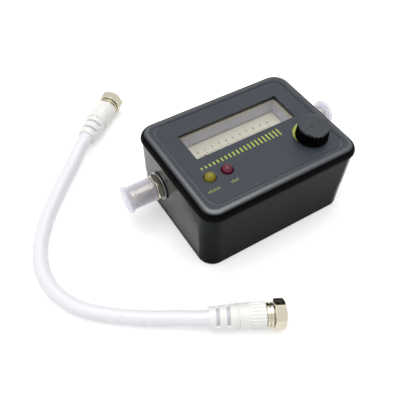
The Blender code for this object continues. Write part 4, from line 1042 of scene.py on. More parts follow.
# Polyethylene, moulded thin and unpigmented: milky, cool and half see-through
CAP_POLYETHYLENE = VeilFinish("polyethylene_milky_moulded", "eeedf7", "e6e5f1", 0.26, grain=0.8,
                              relief=0.003, ior=1.51, tint="fcfcff", veil=0.2, thickening=0.24)
# PVC, moulded white over the plug: soft satin with a slight orange peel
BOOT_PVC = Finish("pvc_white_moulded", "fbfaf8", "f7f6f3", 0.34, grain=0.9, relief=0.008, ior=1.53)
# PVC, the core that shows through the boot's windows: matt, and painted a darker lilac-grey than the white
# jacket as the windows' shade
SHADED_CORE_PVC = Finish("pvc_core_painted_shade", "dad6e0", "d2ced9", 0.45, grain=0.7, relief=0.004, ior=1.53)
# PVC, extruded white jacket: smoother and glossier than the boots
JACKET_PVC = Finish("pvc_white_extruded", "f8f7fb", "f3f2f8", 0.28, grain=0.7, relief=0.006, ior=1.53)
# Epoxy, cast in a dome mould: water-clear surface over tinted, slightly hazy resin
YELLOW_EPOXY = ClearFinish("epoxy_yellow_cast", "a39904", "938a02", 0.07, grain=1.2, relief=0.001,
                           reflect=0.25, gloss_spread=0.02, ior=1.54, transmission=0.3, shadow="8a8418")
RED_EPOXY = ClearFinish("epoxy_red_cast", "86083a", "740630", 0.06, grain=1.2, relief=0.001, reflect=0.25,
                        gloss_spread=0.02, ior=1.54, transmission=0.4, shadow="6a1022")
# Tinned steel leads: pale, satin
TINNED = Finish("steel_tinned_leads", "c8c8c6", "b8b8b8", 0.32, grain=0.2, relief=0.002, metallic=1.0)
# Brass, turned: yellow and bright
BRASS = Finish("brass_turned", "c9a75e", "bb9850", 0.24, grain=0.1, relief=0.002, metallic=1.0)
# Copper, drawn: warm and bright, for the cable's centre conductor and the hair spring
COPPER = Finish("copper_drawn", "c07a4c", "b06c40", 0.28, grain=0.1, relief=0.002, metallic=1.0)
# Copper wire, enamelled and wound: bright turns with dark enamel between them, as fine as shows
WINDING_X = WoundFinish("copper_enamelled_wound_long", "b8683a", "7c3f20", 0.3, metallic=1.0, pitch=0.25)
WINDING_Z = WoundFinish("copper_enamelled_wound_coil", "b8683a", "7c3f20", 0.3, metallic=1.0, pitch=0.15,
                        direction="Z")
# Sintered magnet alloy, ground: dark grey and dull
MAGNET = Finish("alnico_ground", "56565a", "48484c", 0.45, grain=0.3, relief=0.004, metallic=1.0)
# Glass-epoxy laminate, etched, under green solder mask: the tracks stand out lighter
BOARD = BoardFinish("glass_epoxy_green_mask", "245f36", "2f7a47", 0.33, grain=0.4, relief=0.03, ior=1.52)
# Epoxy moulding compound: the chips' dull black
PACKAGE = Finish("epoxy_moulding_black", "1f2022", "2a2b2c", 0.5, grain=0.15, relief=0.006, ior=1.6)
# Aluminium can, drawn: pale and satin
CAN_ALUMINIUM = Finish("aluminium_drawn_can", "bfc2c6", "aeb1b6", 0.3, grain=0.2, relief=0.003, metallic=1.0)
# Phenolic paper: brown, with a fibrous mottle
PHENOLIC = Finish("phenolic_paper_brown", "7d5632", "6a4727", 0.55, grain=0.5, relief=0.01, ior=1.6, detail=6.0)
# Acetal, moulded white: waxy
ACETAL = Finish("acetal_white_moulded", "ecebe6", "e2e1dc", 0.38, grain=0.6, relief=0.006, ior=1.48)
# Red lacquer, sprayed on thin aluminium strip: even and satin
POINTER_LACQUER = Finish("lacquer_red_on_strip", "c0301f", "ad2819", 0.35, grain=0.3, relief=0.003)
# PVC insulation of the hook-up wires, extruded: soft satin in red and grey
WIRE_RED = Finish("pvc_red_extruded", "b3261e", "a01f18", 0.4, grain=0.3, relief=0.004)
WIRE_GREY = Finish("pvc_grey_extruded", "7b7d80", "6e7073", 0.4, grain=0.3, relief=0.004)


# ---- the studio


def placed(name: str, data: bpy.types.ID) -> Piece:
    """Puts a camera, a lamp or a curve in the scene.

    Args:
        name: The object's name.
        data: Its camera, lamp or curve.

    Returns:
        The object.
    """
    obj = bpy.data.objects.new(name, data)
    bpy.context.scene.collection.objects.link(obj)
    return obj


@dataclass
class Studio:
    """Camera, lamps, world and floor. Places in metres, angles in degrees."""

    camera_place: Place = (-0.11222, -0.13273, 0.20554)
    azimuth: float = -33.63
    elevation: float = 51.04
    roll: float = 2.11
    lens: float = 49.48
    sensor: float = 36.0
    clip: Pair = (0.01, 20.0)
    # Each lamp's name, place, size in metres and power in watts
    lamps: tuple[tuple[str, Place, float, float], ...] = (
        ("lamp_top", (0.02, 0.05, 0.75), 0.74, 3.9), ("lamp_left", (-0.60, -0.10, 0.45), 0.45, 0.6)
    )
    floor_size: float = 6.0
    floor_drop: float = 0.00008
    world_level: float = 0.42
    floor_lift: float = 0.36
    floor_fade: Pair = (0.25, 1.2)
    floor_colour: str = "f6f6f6"
    floor_roughness: float = 0.9

    def add_camera(self) -> None:
        """Puts the camera at the photograph's viewing angle."""
        data = bpy.data.cameras.new("camera")
        data.lens, data.sensor_width = self.lens, self.sensor
        data.clip_start, data.clip_end = self.clip
        camera = placed("camera", data)
        a, e = radians(self.azimuth), radians(self.elevation)
        back = Vector((sin(a) * cos(e), -cos(a) * cos(e), sin(e)))
        camera.location = self.camera_place
        camera.rotation_mode = "QUATERNION"
        turn = Quaternion((0, 0, 1), radians(self.roll))
        camera.rotation_quaternion = (-back).to_track_quat("-Z", "Y") @ turn
        bpy.context.scene.camera = camera

    def add_lamp(self, name: str, place: Place, size: float, power: float) -> None:
        """Hangs a square soft lamp that faces the object.

        Args:
            name: The lamp's name.
            place: Where it hangs, metres.
            size: Length of its sides, metres.
            power: Its power, watts.
        """
        data = bpy.data.lights.new(name, "AREA")
        data.shape = "SQUARE"
        data.size = size
        data.energy = power
        lamp = placed(name, data)
        lamp.location = place
        lamp.rotation_euler = (-Vector(place)).to_track_quat("-Z", "Y").to_euler()

    def seen(self, tree: Tree) -> Socket:
        """1 for rays from the eye: straight, mirrored or through something clear.

        Args:
            tree: The node tree that asks.

        Returns:
            The socket that gives 1 or 0.
        """
        path = add_node(tree, "ShaderNodeLightPath").outputs
        seen = path["Is Camera Ray"]
        for ray in ("Is Glossy Ray", "Is Transmission Ray"):
            seen = add_node(tree, "ShaderNodeMath", {0: seen, 1: path[ray]}, operation="MAXIMUM").outputs[0]
        return seen

    def add_world(self) -> None:
        """A plain even world: white where it is seen, softer where it lights."""
        world = bpy.data.worlds.new("studio")
        world.use_nodes = True
        bpy.context.scene.world = world
        tree = world.node_tree
        background = tree.nodes["Background"]
        background.inputs["Color"].default_value = WHITE
        limits = {"Value": self.seen(tree), "To Min": self.world_level}
        level = add_node(tree, "ShaderNodeMapRange", limits)
        tree.links.new(level.outputs["Result"], background.inputs["Strength"])

    def add_floor(self) -> None:
        """A pale floor that shows white and keeps the object's soft shadow."""
        bench_clear()
        bpy.ops.mesh.primitive_plane_add(size=self.floor_size, location=(0, 0, -self.floor_drop))
        floor = settle(bpy.context.object)
        floor.name = "floor"
        made = bpy.data.materials.new("studio_floor")
        made.use_nodes = True
        tree = made.node_tree
        shader = tree.nodes["Principled BSDF"]
        shader.inputs["Base Color"].default_value = colour_of(self.floor_colour)
        shader.inputs["Roughness"].default_value = self.floor_roughness
        shader.inputs["Specular IOR Level"].default_value = 0.0
        seen = self.seen(tree)
        place = add_node(tree, "ShaderNodeTexCoord").outputs["Object"]
        away = add_node(tree, "ShaderNodeVectorMath", {0: place}, operation="LENGTH").outputs["Value"]
        near, far = self.floor_fade
        limits = {"Value": away, "From Min": near, "From Max": far, "To Min": self.floor_lift}
        fade = add_node(tree, "ShaderNodeMapRange", limits).outputs["Result"]
        lift = add_node(tree, "ShaderNodeMath", {0: seen, 1: fade}, operation="MULTIPLY")
        glow = add_node(tree, "ShaderNodeEmission", {"Color": WHITE, "Strength": lift.outputs[0]})
        layers = {0: shader.outputs["BSDF"], 1: glow.outputs["Emission"]}
        both = add_node(tree, "ShaderNodeAddShader", layers)
        tree.links.new(both.outputs["Shader"], tree.nodes["Material Output"].inputs["Surface"])
        floor.data.materials.append(made)
        bench_clear()

    def build(self) -> None:
        """Sets up the whole studio."""
        bpy.context.scene.view_settings.view_transform = "Standard"
        self.add_camera()
        for lamp in self.lamps:
            self.add_lamp(*lamp)
        self.add_world()
        self.add_floor()


# ---- the jumper lead


@dataclass
class Plug:
    """One end of the lead: a moulded boot, a ferrule and a swivel nut, along its own Z from the tail."""

    side: str
    x: float
    y: float
    heading: float
    nut_roll: float
    window_middle: float
    height: float = 6.4
    tail_radius: float = 4.65
    grip_radius: float = 5.6
    boot_length: float = 22.8
    grip_length: float = 7.0
    mouth_radius: float = 4.3
    mouth_depth: float = 5.0
    ring_bulge: float = 0.12
    ring_steps: int = 6
    edge_break: float = 0.12
    slot_depth: float = 1.3
    slot_starts: Pair = (2.85, 7.05)
    slot_width: float = 1.5
    window_span: float = 140.0
    window_steps: int = 14
    window_reach: float = 8.0
    core_proud: float = 0.06
    core_past: float = 0.45
    rib_start: float = 10.95
    rib_width: float = 0.9
    rib_gap: float = 0.3
    rib_depth: float = 0.35
    rib_proud: float = 0.25
    flutes: int = 24
    flute_radius: float = 0.42
    flute_out: float = 0.08
    flute_lead: float = 0.4
    flute_sides: int = 10
    ferrule: Section = (
        (18.1, 0), (18.1, 4.0, 0.2), (23.1, 4.0), (23.1, 5.0, 0.25), (24.2, 5.0, 0.15), (24.2, 4.4),
        (24.65, 4.4), (24.65, 5.0, 0.15), (25.75, 5.0, 0.25), (25.75, 3.3), (27.55, 3.3), (27.55, 4.3, 0.12),
        (28.55, 4.3, 0.12), (28.55, 2.1, 0.1), (25.75, 2.1), (25.75, 0),
    )
    nut_flats: float = 10.94
    nut_start: float = 26.05
    nut_end: float = 30.85
    nut_wall: float = 1.2
    nut_bore: float = 4.7
    nut_ease: float = 0.18
    neck_radius: float = 3.6
    thread_depth: float = 0.35
    thread_inset: Pair = (0.4, 0.5)

    @property
    def seat(self) -> Matrix:
        """The plug's axis, from the middle of its tail."""
        return lying(self.x, self.y, self.height, radians(self.heading))

    def cone(self, along: float) -> float:
        """The boot's outer radius at a distance from its tail."""
        share = min(along / (self.boot_length - self.grip_length), 1.0)
        return self.tail_radius + (self.grip_radius - self.tail_radius) * share

    def window_tool(self, start: float, middle: float) -> Piece:
        """A curved cutter for one strain-relief window.

        Args:
            start: Where the window begins, from the tail, mm.
            middle: Where its middle stands round the axis, degrees.

        Returns:
            The cutter.
        """
        floor, end, out = self.cone(start) - self.slot_depth, start + self.slot_width, self.window_reach
        section = eased([(start, floor, 0.2), (start, out), (end, out), (end, floor, 0.2)])
        blank = Blank.line("window_tool", [Vector((radius, 0, along)) for along, radius in section]).fill()
        span = radians(self.window_span)
        bpy.ops.mesh.spin(steps=self.window_steps, angle=span, center=(0, 0, 0), axis=(0, 0, 1))
        return blank.done(Matrix.Rotation(radians(middle) + span / 2, 4, "Z"))

    def profile(self) -> list[tuple[float, ...]]:
        """The boot's outer line up to the grip: bulging tail rings, then a rib between two grooves.

        Returns:
            Points of (along, radius) or (along, radius, corner radius), mm.
        """
        first, second = self.slot_starts
        groove, width = self.rib_start - self.rib_gap, self.slot_width
        line = []
        for low, high in ((0.0, first), (first + width, second), (second + width, groove)):
            for share in (k / self.ring_steps for k in range(self.ring_steps + 1)):
                along = low + (high - low) * share
                line.append((along, self.cone(along) - self.ring_bulge * (2 * share - 1) ** 2))
        low, high = self.rib_start, self.rib_start + self.rib_width
        floor, crest = self.cone(low) - self.rib_depth, self.cone(low) + self.rib_proud
        after = high + self.rib_gap
        return line + [
            (groove, floor), (low, floor), (low, crest, 0.25), (high, crest, 0.25), (high, floor),
            (after, floor), (after, self.cone(after), 0.15),
        ]

    def build_boot(self) -> None:
        """The white moulded boot: tail rings with windows between them, a rib, a cone and a fluted grip."""
        end, radius = self.boot_length, self.grip_radius
        grip, mouth = end - self.grip_length, end - self.mouth_depth
        section = [
            (0, 0), *self.profile(), (grip - 0.35, radius - 0.25, 0.2), (grip, radius, 0.25),
            (end, radius, 0.3), (end, self.mouth_radius), (mouth, self.mouth_radius), (mouth, 0),
        ]
        boot = turned(f"boot_{self.side}", section, None, FINE_SIDES)
        start, tip = grip + self.flute_lead, self.flute_radius
        flute = [(start, 0), (start + self.flute_lead, tip), (end + PAST, tip), (end + PAST, 0)]
        first = turned("flute_tool", flute, upright(radius + self.flute_out, 0), self.flute_sides)
        combine(boot, ringed(first, self.flutes))
        for start in self.slot_starts:
            for middle in (self.window_middle, self.window_middle + 180):
                combine(boot, self.window_tool(start, middle))
        break_edges(boot, self.edge_break)
        settle(boot, self.seat)
        finish_piece(boot, BOOT_PVC, "lead", f"plug_boot_{self.side}")

    def build_core(self) -> None:
        """The boot's core, which shows at the bottom of its windows, coloured darker than the jacket as painted
        shade.
        """
        near, far = (self.cone(start) - self.slot_depth + self.core_proud for start in self.slot_starts)
        first, second = self.slot_starts
        low, high = first - self.core_past, second + self.slot_width + self.core_past
        between = (first + self.slot_width + second) / 2
        section = [
            (low, 0), (low, near, 0.15), (between, near), (between, far), (high, far, 0.15), (high, 0)
        ]
        finish_piece(turned(f"boot_core_{self.side}", section, self.seat), SHADED_CORE_PVC, "lead")

    def build_ferrule(self) -> None:
        """The plated ferrule: two rings with a groove, a neck inside the nut and a collar."""
        ferrule = turned(f"ferrule_{self.side}", self.ferrule, self.seat)
        finish_piece(ferrule, NICKEL, "lead", f"plug_ferrule_{self.side}")

    def build_nut(self) -> None:
        """The swivel nut: a chamfered hexagon with a threaded bore and an end wall round the neck."""
        start, end, wide = self.nut_start, self.nut_end, self.nut_bore
        along = start + self.nut_wall
        bore = [(start - PAST, 0), (start - PAST, self.neck_radius), (along, self.neck_radius), (along, wide)]
        along += self.thread_inset[0]
        while along + F_PITCH < end - self.thread_inset[1]:
            bore += [(along, wide), (along + F_PITCH / 2, wide - self.thread_depth)]
            along += F_PITCH
        brim = wide + 0.25
        bore += [(along, wide), (end - 0.3, wide), (end, brim), (end + PAST, brim), (end + PAST, 0)]
        nut = hex_nut(f"swivel_nut_{self.side}", self.nut_flats, start, end, self.nut_ease, bore)
        settle(nut, self.seat @ Matrix.Rotation(radians(self.nut_roll), 4, "Z"))
        finish_piece(nut, NICKEL, f"nut_{self.side}", f"plug_nut_{self.side}", NUT_SMOOTH)

    def build(self) -> None:
        """Makes the plug and dresses its CAD pieces."""
        self.build_boot()
        self.build_core()
        self.build_ferrule()
        self.build_nut()
        dress({f"plug_dielectric_{self.side}": ACETAL, f"plug_pin_{self.side}": COPPER})
        LOG.info("plug %s: boot, ferrule, swivel nut", self.side)


@dataclass
class JumperLead:
    """The white coaxial lead that lies beside the meter, shown from end to end."""

    radius: float = 3.3
    sunk: float = 0.4
    length: float = 0.1588
    curve_steps: int = 10
    round_steps: int = 8
    near: Plug = field(default_factory=lambda: Plug("near", -52.1, -51.4, -27.7, 25.0, 105.0))
    far: Plug = field(default_factory=lambda: Plug("far", -50.88, 65.81, 38.4, -6.0, 90.0))
    # Points of the cable's centre line between its plugs, in metres, as the CAD has them
    route: tuple[Place, ...] = (
        (-0.0552, -0.0497, 0.0063), (-0.0611, -0.0454, 0.0054), (-0.0705, -0.0392, 0.0043),
        (-0.0793, -0.0327, 0.0037), (-0.0875, -0.0259, 0.0035), (-0.0937, -0.0192, 0.0035),
        (-0.0980, -0.0110, 0.0035), (-0.0999, -0.0020, 0.0035), (-0.0992, 0.0070, 0.0035),
        (-0.0963, 0.0158, 0.0035), (-0.0915, 0.0243, 0.0035), (-0.0855, 0.0324, 0.0035),
        (-0.0786, 0.0400, 0.0036), (-0.0717, 0.0470, 0.0039), (-0.0645, 0.0537, 0.0045),
        (-0.0574, 0.0605, 0.0058), (-0.0536, 0.0636, 0.0063),
    )

    def mouth(self, plug: Plug) -> Vector:
        """Where the cable ends, a little inside a plug's tail."""
        return plug.seat @ Vector((0, 0, self.sunk * MM))

    def build_cable(self) -> Piece:
        """The jacket: one smooth curve through the route's points.

        Returns:
            The cable, a curve.
        """
        points = [self.mouth(self.near), *map(Vector, self.route), self.mouth(self.far)]
        bench_clear()
        curve = bpy.data.curves.new("cable_jacket", "CURVE")
        curve.dimensions = "3D"
        curve.resolution_u = curve.render_resolution_u = self.curve_steps
        curve.bevel_depth = self.radius * MM
        curve.bevel_resolution = self.round_steps
        curve.use_fill_caps = True
        spline = curve.splines.new("BEZIER")
        spline.bezier_points.add(len(points) - 1)
        for knot, point in zip(spline.bezier_points, points):
            knot.co = point
            knot.handle_left_type = knot.handle_right_type = "AUTO"
        cable = placed("cable_jacket", curve)
        finish_piece(cable, JACKET_PVC, "lead", "lead_cable")
        return cable

    def build(self) -> None:
        cable = self.build_cable()
        carried = []
        for plug in (self.near, self.far):
            plug.build()
            made, kept = ("boot", "boot_core", "ferrule", "swivel_nut"), ("plug_dielectric", "plug_pin")
            carried += [bpy.data.objects[f"{part}_{plug.side}"] for part in made]
            carried += [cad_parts[f"{part}_{plug.side}"] for part in kept]
        LOG.info("lead: cable %.0f mm between its plugs", self.length / MM)


# ---- the case


@dataclass
class CaseShell:
    """Moulded lid and tray, with the four screws that hold them."""

    half_x: float = 40.0
    half_y: float = 30.5
    height: float = 37.0
    corner: float = 7.8
    edge: Pair = (4.6, 3.6)
    edge_steps: int = 12
    pocket_gap: float = 0.3
    window_rim: float = 1.0
    plate: float = 2.0
    parting: float = 33.2
    lip_inset: float = 2.75
    lip_wall: float = 1.2
    lip_drop: float = 2.2
    gap: float = 0.3
    overhang: float = 0.65
    taper: float = 0.75
    wall: float = 1.8
    floor: float = 2.0
    step_height: float = 14.7
    step: float = 0.35
    foot: float = 0.8
    foot_steps: int = 4
    groove_half: Pair = (34.2, 25.2)
    groove_corner: float = 4.5
    groove_steps: int = 10
    groove_width: float = 0.6
    groove_depth: float = 0.35
    window: Pair = (26.2, 16.1)
    column: Pair = (32.6, 23.2)
    column_radius: float = 2.8
    column_root: float = 0.5
    pilot_radius: float = 1.7
    pilot_sides: int = 24
    pilot_end: float = 12.2
    pad_radius: float = 4.2
    pad_foot: float = 1.0
    pad_top: float = 4.6
    head_radius: float = 2.9
    head_depth: float = 2.5
    knob_radius: float = 3.8
    lamp_places: Outline = ((-27.0, -11.3), (-18.5, -11.3))
    lamp_radius: float = 2.8
    socket_place: Pair = (9.7, 18.3)
    socket_radius: float = 4.95
    socket_reach: float = 44.0
    buzzer_place: Pair = (7.32, -3.9)
    sound_ring: float = 2.8
    sound_holes: int = 6
    sound_radius: float = 0.8
    edge_break: float = 0.14
    thread: tuple[float, float, float, float] = (1.5, 0.7, 2.6, 9.6)
    screw: Section = ((0.6, 0), (0.6, 2.6, 0.35), (2.2, 2.6, 0.1), (2.2, 1.4), (9.8, 1.4, 0.3), (11.2, 0))
    slot: Pair = (4.0, 0.35)
    slot_depth: float = 1.2
    screw_turn: float = 37.0

    def tray_half(self, height: float) -> Pair:
        """The tray's half sizes over its walls at a height, above the step."""
        lean = self.overhang + self.taper * (self.parting - height) / self.parting
        return self.half_x - lean, self.half_y - lean

    def columns(self) -> Outline:
        """The plan places of the four screws."""
        x, y = self.column
        return [(-x, -y), (-x, y), (x, -y), (x, y)]

    def repeated(self, name: str, section: Section, places: Outline, sides: int) -> Piece:
        """One turned form at several plan places, gathered in one tool.

        Args:
            name: The tool's name.
            section: The form's section, mm.
            places: The plan places, mm.
            sides: Segments round each form.

        Returns:
            All the forms as one piece.
        """
        first, *others = (upright(x, y) for x, y in places)
        form = turned(name, section, None, sides)
        forms = [copied(form, f"{name}_{i}", seat) for i, seat in enumerate(others)]
        return gather([*forms, settle(form, first)], name)

    def groove_tool(self) -> Piece:
        """The band that cuts the groove round the lid's top.

        Returns:
            The cutter.
        """
        bands = []
        for side in (0.5, -0.5):
            grow = self.groove_width * side
            low = self.height - self.groove_depth - (0 if side > 0 else PAST)
            half_x, half_y = self.groove_half
            blank = Blank.plate("groove_band", half_x + grow, half_y + grow, low)
            blank.round_corners(self.groove_corner + grow, self.groove_steps)
            bands.append(blank.pull(self.height + 2 * PAST - low).done())
        return combine(*bands)

    def build_lid(self) -> None:
        """The lid: rounded top edge, skirt, lip, screw columns, groove, window and holes."""
        blank = Blank.plate("lid", self.half_x, self.half_y, self.parting).round_corners(self.corner)
        across, drop = self.edge
        blank.pull(self.height - drop - self.parting).round_over(across, drop, self.edge_steps)
        blank.pick_face(self.parting, -1).inset(self.lip_inset).pull(-self.lip_drop).inset(self.lip_wall)
        lid = blank.pull(self.lip_drop + self.height - self.plate - self.parting).done()
        under, above = self.height - self.plate, self.height + PAST
        low, foot = under - PAST, self.pad_top + self.gap
        column = rod(foot, under + self.column_root, self.column_radius)
        combine(lid, self.repeated("lid_column", column, self.columns(), POST_SIDES), Join.ADD)
        pilot = rod(foot - PAST, self.pilot_end, self.pilot_radius)
        combine(lid, self.repeated("lid_pilot", pilot, self.columns(), self.pilot_sides))
        x, y = self.window
        combine(lid, outlined("window_tool", oblong(-x, x, 0, y), low, above))
        meter = MeterWindow()
        pocket = meter.outline(meter.wall + self.pocket_gap)
        combine(lid, outlined("pocket_tool", pocket, low, self.height - self.window_rim))
        combine(lid, self.groove_tool())
        hole = rod(low, above, self.lamp_radius)
        combine(lid, self.repeated("lamp_hole", hole, self.lamp_places, HOLE_SIDES))
        hole = rod(low, above, self.knob_radius)
        combine(lid, turned("bushing_hole", hole, upright(*KNOB_PLACE), HOLE_SIDES))
        break_edges(split_faces(lid), self.edge_break)
        finish_piece(lid, LID_ABS, "case", "case_lid")

    def build_tray(self) -> None:
        """The tray: tapered walls, stepped at both ends, a rounded foot, screw pads and holes."""
        top = self.parting - self.gap
        half = self.tray_half(top)
        blank = Blank.plate("tray", *half, top).round_corners(self.corner - self.overhang)
        height = top
        low = self.step_height - self.step
        for level, step in ((self.step_height, 0.0), (low, self.step), (self.foot, self.step)):
            wide, deep = self.tray_half(level)
            blank.pull(level - height, ((wide - step) / half[0], deep / half[1]))
            height, half = level, (wide - step, deep)
        blank.pick_face(self.foot, -1).round_over(self.foot, self.foot, self.foot_steps)
        rim, base = self.tray_half(top), self.tray_half(self.floor)
        scale = tuple((low - self.wall) / (high - self.wall) for low, high in zip(base, rim))
        tray = blank.pick_face(top, 1).inset(self.wall).pull(self.floor - top, scale).done()
        pad = rod(self.pad_foot, self.pad_top, self.pad_radius)
        combine(tray, self.repeated("tray_pad", pad, self.columns(), POST_SIDES), Join.ADD)
        head = rod(-PAST, self.head_depth, self.head_radius)
        bore = head[:3] + rod(self.head_depth, self.pad_top + PAST, self.pilot_radius)[1:]
        combine(tray, self.repeated("tray_bore", bore, self.columns(), POST_SIDES))
        socket = rod(-self.socket_reach, self.socket_reach, self.socket_radius)
        combine(tray, turned("socket_tool", socket, lying(0, *self.socket_place, 0.0), HOLE_SIDES))
        x, y = self.buzzer_place
        turns = [TURN * i / self.sound_holes for i in range(self.sound_holes)]
        ring = [(x + self.sound_ring * cos(a), y + self.sound_ring * sin(a)) for a in turns]
        hole = rod(-PAST, self.floor + PAST, self.sound_radius)
        combine(tray, self.repeated("sound_hole", hole, ring, SMALL_SIDES))
        break_edges(tray, self.edge_break)
        finish_piece(tray, TRAY_ABS, "case", "case_tray")

    def build_screws(self) -> None:
        """Four slotted screws, one modelled and three copied."""
        first = turned("screw", self.screw, None, POST_SIDES)
        long, wide = self.slot
        combine(first, outlined("slot_tool", oblong(-long, long, -wide, wide), -PAST, self.slot_depth))
        first = gather([first, threaded("screw_thread", *self.thread)], "screw")
        for number, (x, y) in enumerate(self.columns(), 1):
            turn = Matrix.Rotation(radians(self.screw_turn * number), 4, "Z")
            screw = copied(first, f"screw_{number}", upright(x, y) @ turn)
            finish_piece(screw, ZINC, "case", f"case_screw_{number}")
        scrap(first)

    def build(self) -> None:
        """Makes the lid, the tray and the screws."""
        self.build_lid()
        self.build_tray()
        self.build_screws()
        LOG.info("case: lid, tray, four screws")


@dataclass
class LidPrint:
    """Marks printed on the lid in lime ink: rising level bars, two small ticks and a volume wedge."""

    film: Pair = (37.0, 37.03)
    bars: int = 21
    bar_pitch: float = 2.04
    bar_width: float = 0.75
    bar_heights: Pair = (1.3, 4.2)
    bar_foot: Pair = (-27.4, -6.4)
    tick_rows: tuple[tuple[float, float, int], ...] = ((-31.6, -18.5, 6), (-20.6, -18.5, 4))
    tick_pitch: float = 0.95
    tick_width: float = 0.34
    tick_heights: Pair = (0.91, 1.3)
    wedge_inner: float = 6.7
    wedge_steps: int = 4
    wedge_outer: Outline = (
        (176, 6.9), (164, 7.3), (143, 8.0), (126, 8.6), (107, 9.1), (88, 9.8), (70, 10.2), (52, 10.5),
        (36, 10.6),
    )

    def build_bars(self) -> None:
        """The rising bars."""
        (x, y), (low, high) = self.bar_foot, self.bar_heights
        growth = (high - low) / (self.bars - 1)
        bars = [(x + i * self.bar_pitch, y, low + growth * i) for i in range(self.bars)]
        print_strokes("level_bars", LID_INK, self.bar_width, self.film, bars)

    def build_ticks(self) -> None:
        """Small strokes under the two lamps."""
        ticks = [
            (x + i * self.tick_pitch, y, self.tick_heights[i % 2])
            for x, y, count in self.tick_rows for i in range(count)
        ]
        print_strokes("lamp_ticks", LID_INK, self.tick_width, self.film, ticks)

    def build_wedge(self) -> None:
        """The volume wedge that grows round the knob."""
        fine, shares = [], [k / self.wedge_steps for k in range(self.wedge_steps)]
        for (a, r), (b, q) in zip(self.wedge_outer, self.wedge_outer[1:]):
            fine += [(a + (b - a) * share, r + (q - r) * share) for share in shares]
        fine.append(self.wedge_outer[-1])
        ring = [*fine, *[(angle, self.wedge_inner) for angle, _ in reversed(fine)]]
        outline = [(r * cos(radians(a)), r * sin(radians(a))) for a, r in ring]
        finish_piece(outlined("volume_wedge", outline, *self.film, upright(*KNOB_PLACE)), LID_INK, "case")

    def build(self) -> None:
        """Prints all the marks."""
        self.build_bars()
        self.build_ticks()
        self.build_wedge()
        LOG.info("print: level bars, lamp ticks, volume wedge")


# ---- the meter


@dataclass
class MeterWindow:
    """The pointer meter under the window: clear cover, tub, printed scale and the movement."""

    half_x: float = 26.2
    back: float = 16.1
    front: float = -1.0
    bay_half: float = 10.0
    bay_front: float = -17.0
    wall: float = 1.3
    rim: float = 34.4
    tub_break: float = 0.16
    cover_break: float = 0.12
    card_break: float = 0.06
    floor: float = 26.5
    bottom: float = 25.3
    cover: Pair = (34.7, 35.7)
    plate: Pair = (26.8, 27.3)
    plate_gap: float = 0.3
    first_mark: float = -18.9
    last_mark: float = 19.4
    marks: int = 11
    mark_y: float = 10.9
    figure: float = 2.1
    figure_steps: int = 3
    film: float = 0.02
    tick_drop: float = 3.2
    tick_width: float = 0.18
    tick_heights: tuple[float, ...] = (1.4, 0.7, 0.7, 0.7, 0.7)

    def outline(self, margin: float) -> Outline:
        """The tub's T-shaped plan, grown by a margin.

        Args:
            margin: How far it is grown, mm.

        Returns:
            The plan points, mm.
        """
        wide, narrow = self.half_x + margin, self.bay_half + margin
        front, bay, back = self.front - margin, self.bay_front - margin, self.back + margin
        return [(-narrow, bay), (narrow, bay), (narrow, front), (wide, front), (wide, back), (-wide, back),
                (-wide, front), (-narrow, front)]

    def build_tub(self) -> None:
        """The tub, hollowed from a block."""
        tub = outlined("meter_tub_walls", self.outline(self.wall), self.bottom, self.rim)
        combine(tub, outlined("tub_tool", self.outline(0), self.floor, self.rim + PAST))
        break_edges(tub, self.tub_break)
        finish_piece(tub, TUB_STYRENE, "case", "meter_tub")

    def build_cover(self) -> None:
        """The clear cover, with polished edges."""
        cover = outlined("meter_lens", self.outline(self.wall), *self.cover)
        break_edges(cover, self.cover_break)
        finish_piece(cover, LENS_ACRYLIC, "case", "meter_cover")

    def build_figure(self, number: int, x: float) -> Piece:
        """One printed figure at a place along the scale.

        Args:
            number: The figure.
            x: Its place along X, mm.

        Returns:
            The figure as a mesh.
        """
        bench_clear()
        middle = self.plate[1] + self.film / 2
        bpy.ops.object.text_add(location=(x * MM, self.mark_y * MM, middle * MM))
        text = bpy.context.object
        text.data.body = str(number)
        text.data.size = self.figure * MM
        text.data.align_x = text.data.align_y = "CENTER"
        text.data.extrude = self.film / 2 * MM
        text.data.resolution_u = self.figure_steps
        bpy.ops.object.convert(target="MESH")
        return Blank(f"figure_{number}").done()

    def build_scale(self) -> None:
        """The scale plate with its figures and ticks."""
        x, y = self.half_x - self.plate_gap, self.back - self.plate_gap
        card = outlined("scale_card", oblong(-x, x, self.front + self.plate_gap, y), *self.plate)
        break_edges(card, self.card_break, 1)
        finish_piece(card, SCALE_CARD, "case", "scale_plate")
        pitch = (self.last_mark - self.first_mark) / (self.marks - 1)
        places = [self.first_mark + i * pitch for i in range(self.marks)]
        figures = gather([self.build_figure(i, place) for i, place in enumerate(places)], "scale_figures")
        finish_piece(figures, SCALE_INK, "case")
        steps, foot = len(self.tick_heights), self.mark_y - self.tick_drop
        ticks = [
            (self.first_mark + pitch * i / steps, foot, self.tick_heights[i % steps])
            for i in range((self.marks - 1) * steps + 1)
        ]
        ink = self.plate[1]
        print_strokes("scale_ticks", SCALE_INK, self.tick_width, (ink, ink + self.film), ticks)

    def build(self) -> None:
        """Makes the meter and dresses its movement."""
        self.build_tub()
        self.build_cover()
        self.build_scale()
        dress({
            "magnet_core": MAGNET, "yoke_ring": ZINC, "movement_bridge": BRASS, "hair_spring": COPPER,
            "moving_coil": WINDING_Z, "pointer": POINTER_LACQUER,
        })
        LOG.info("meter: tub, lens, scale, movement")


# ---- controls


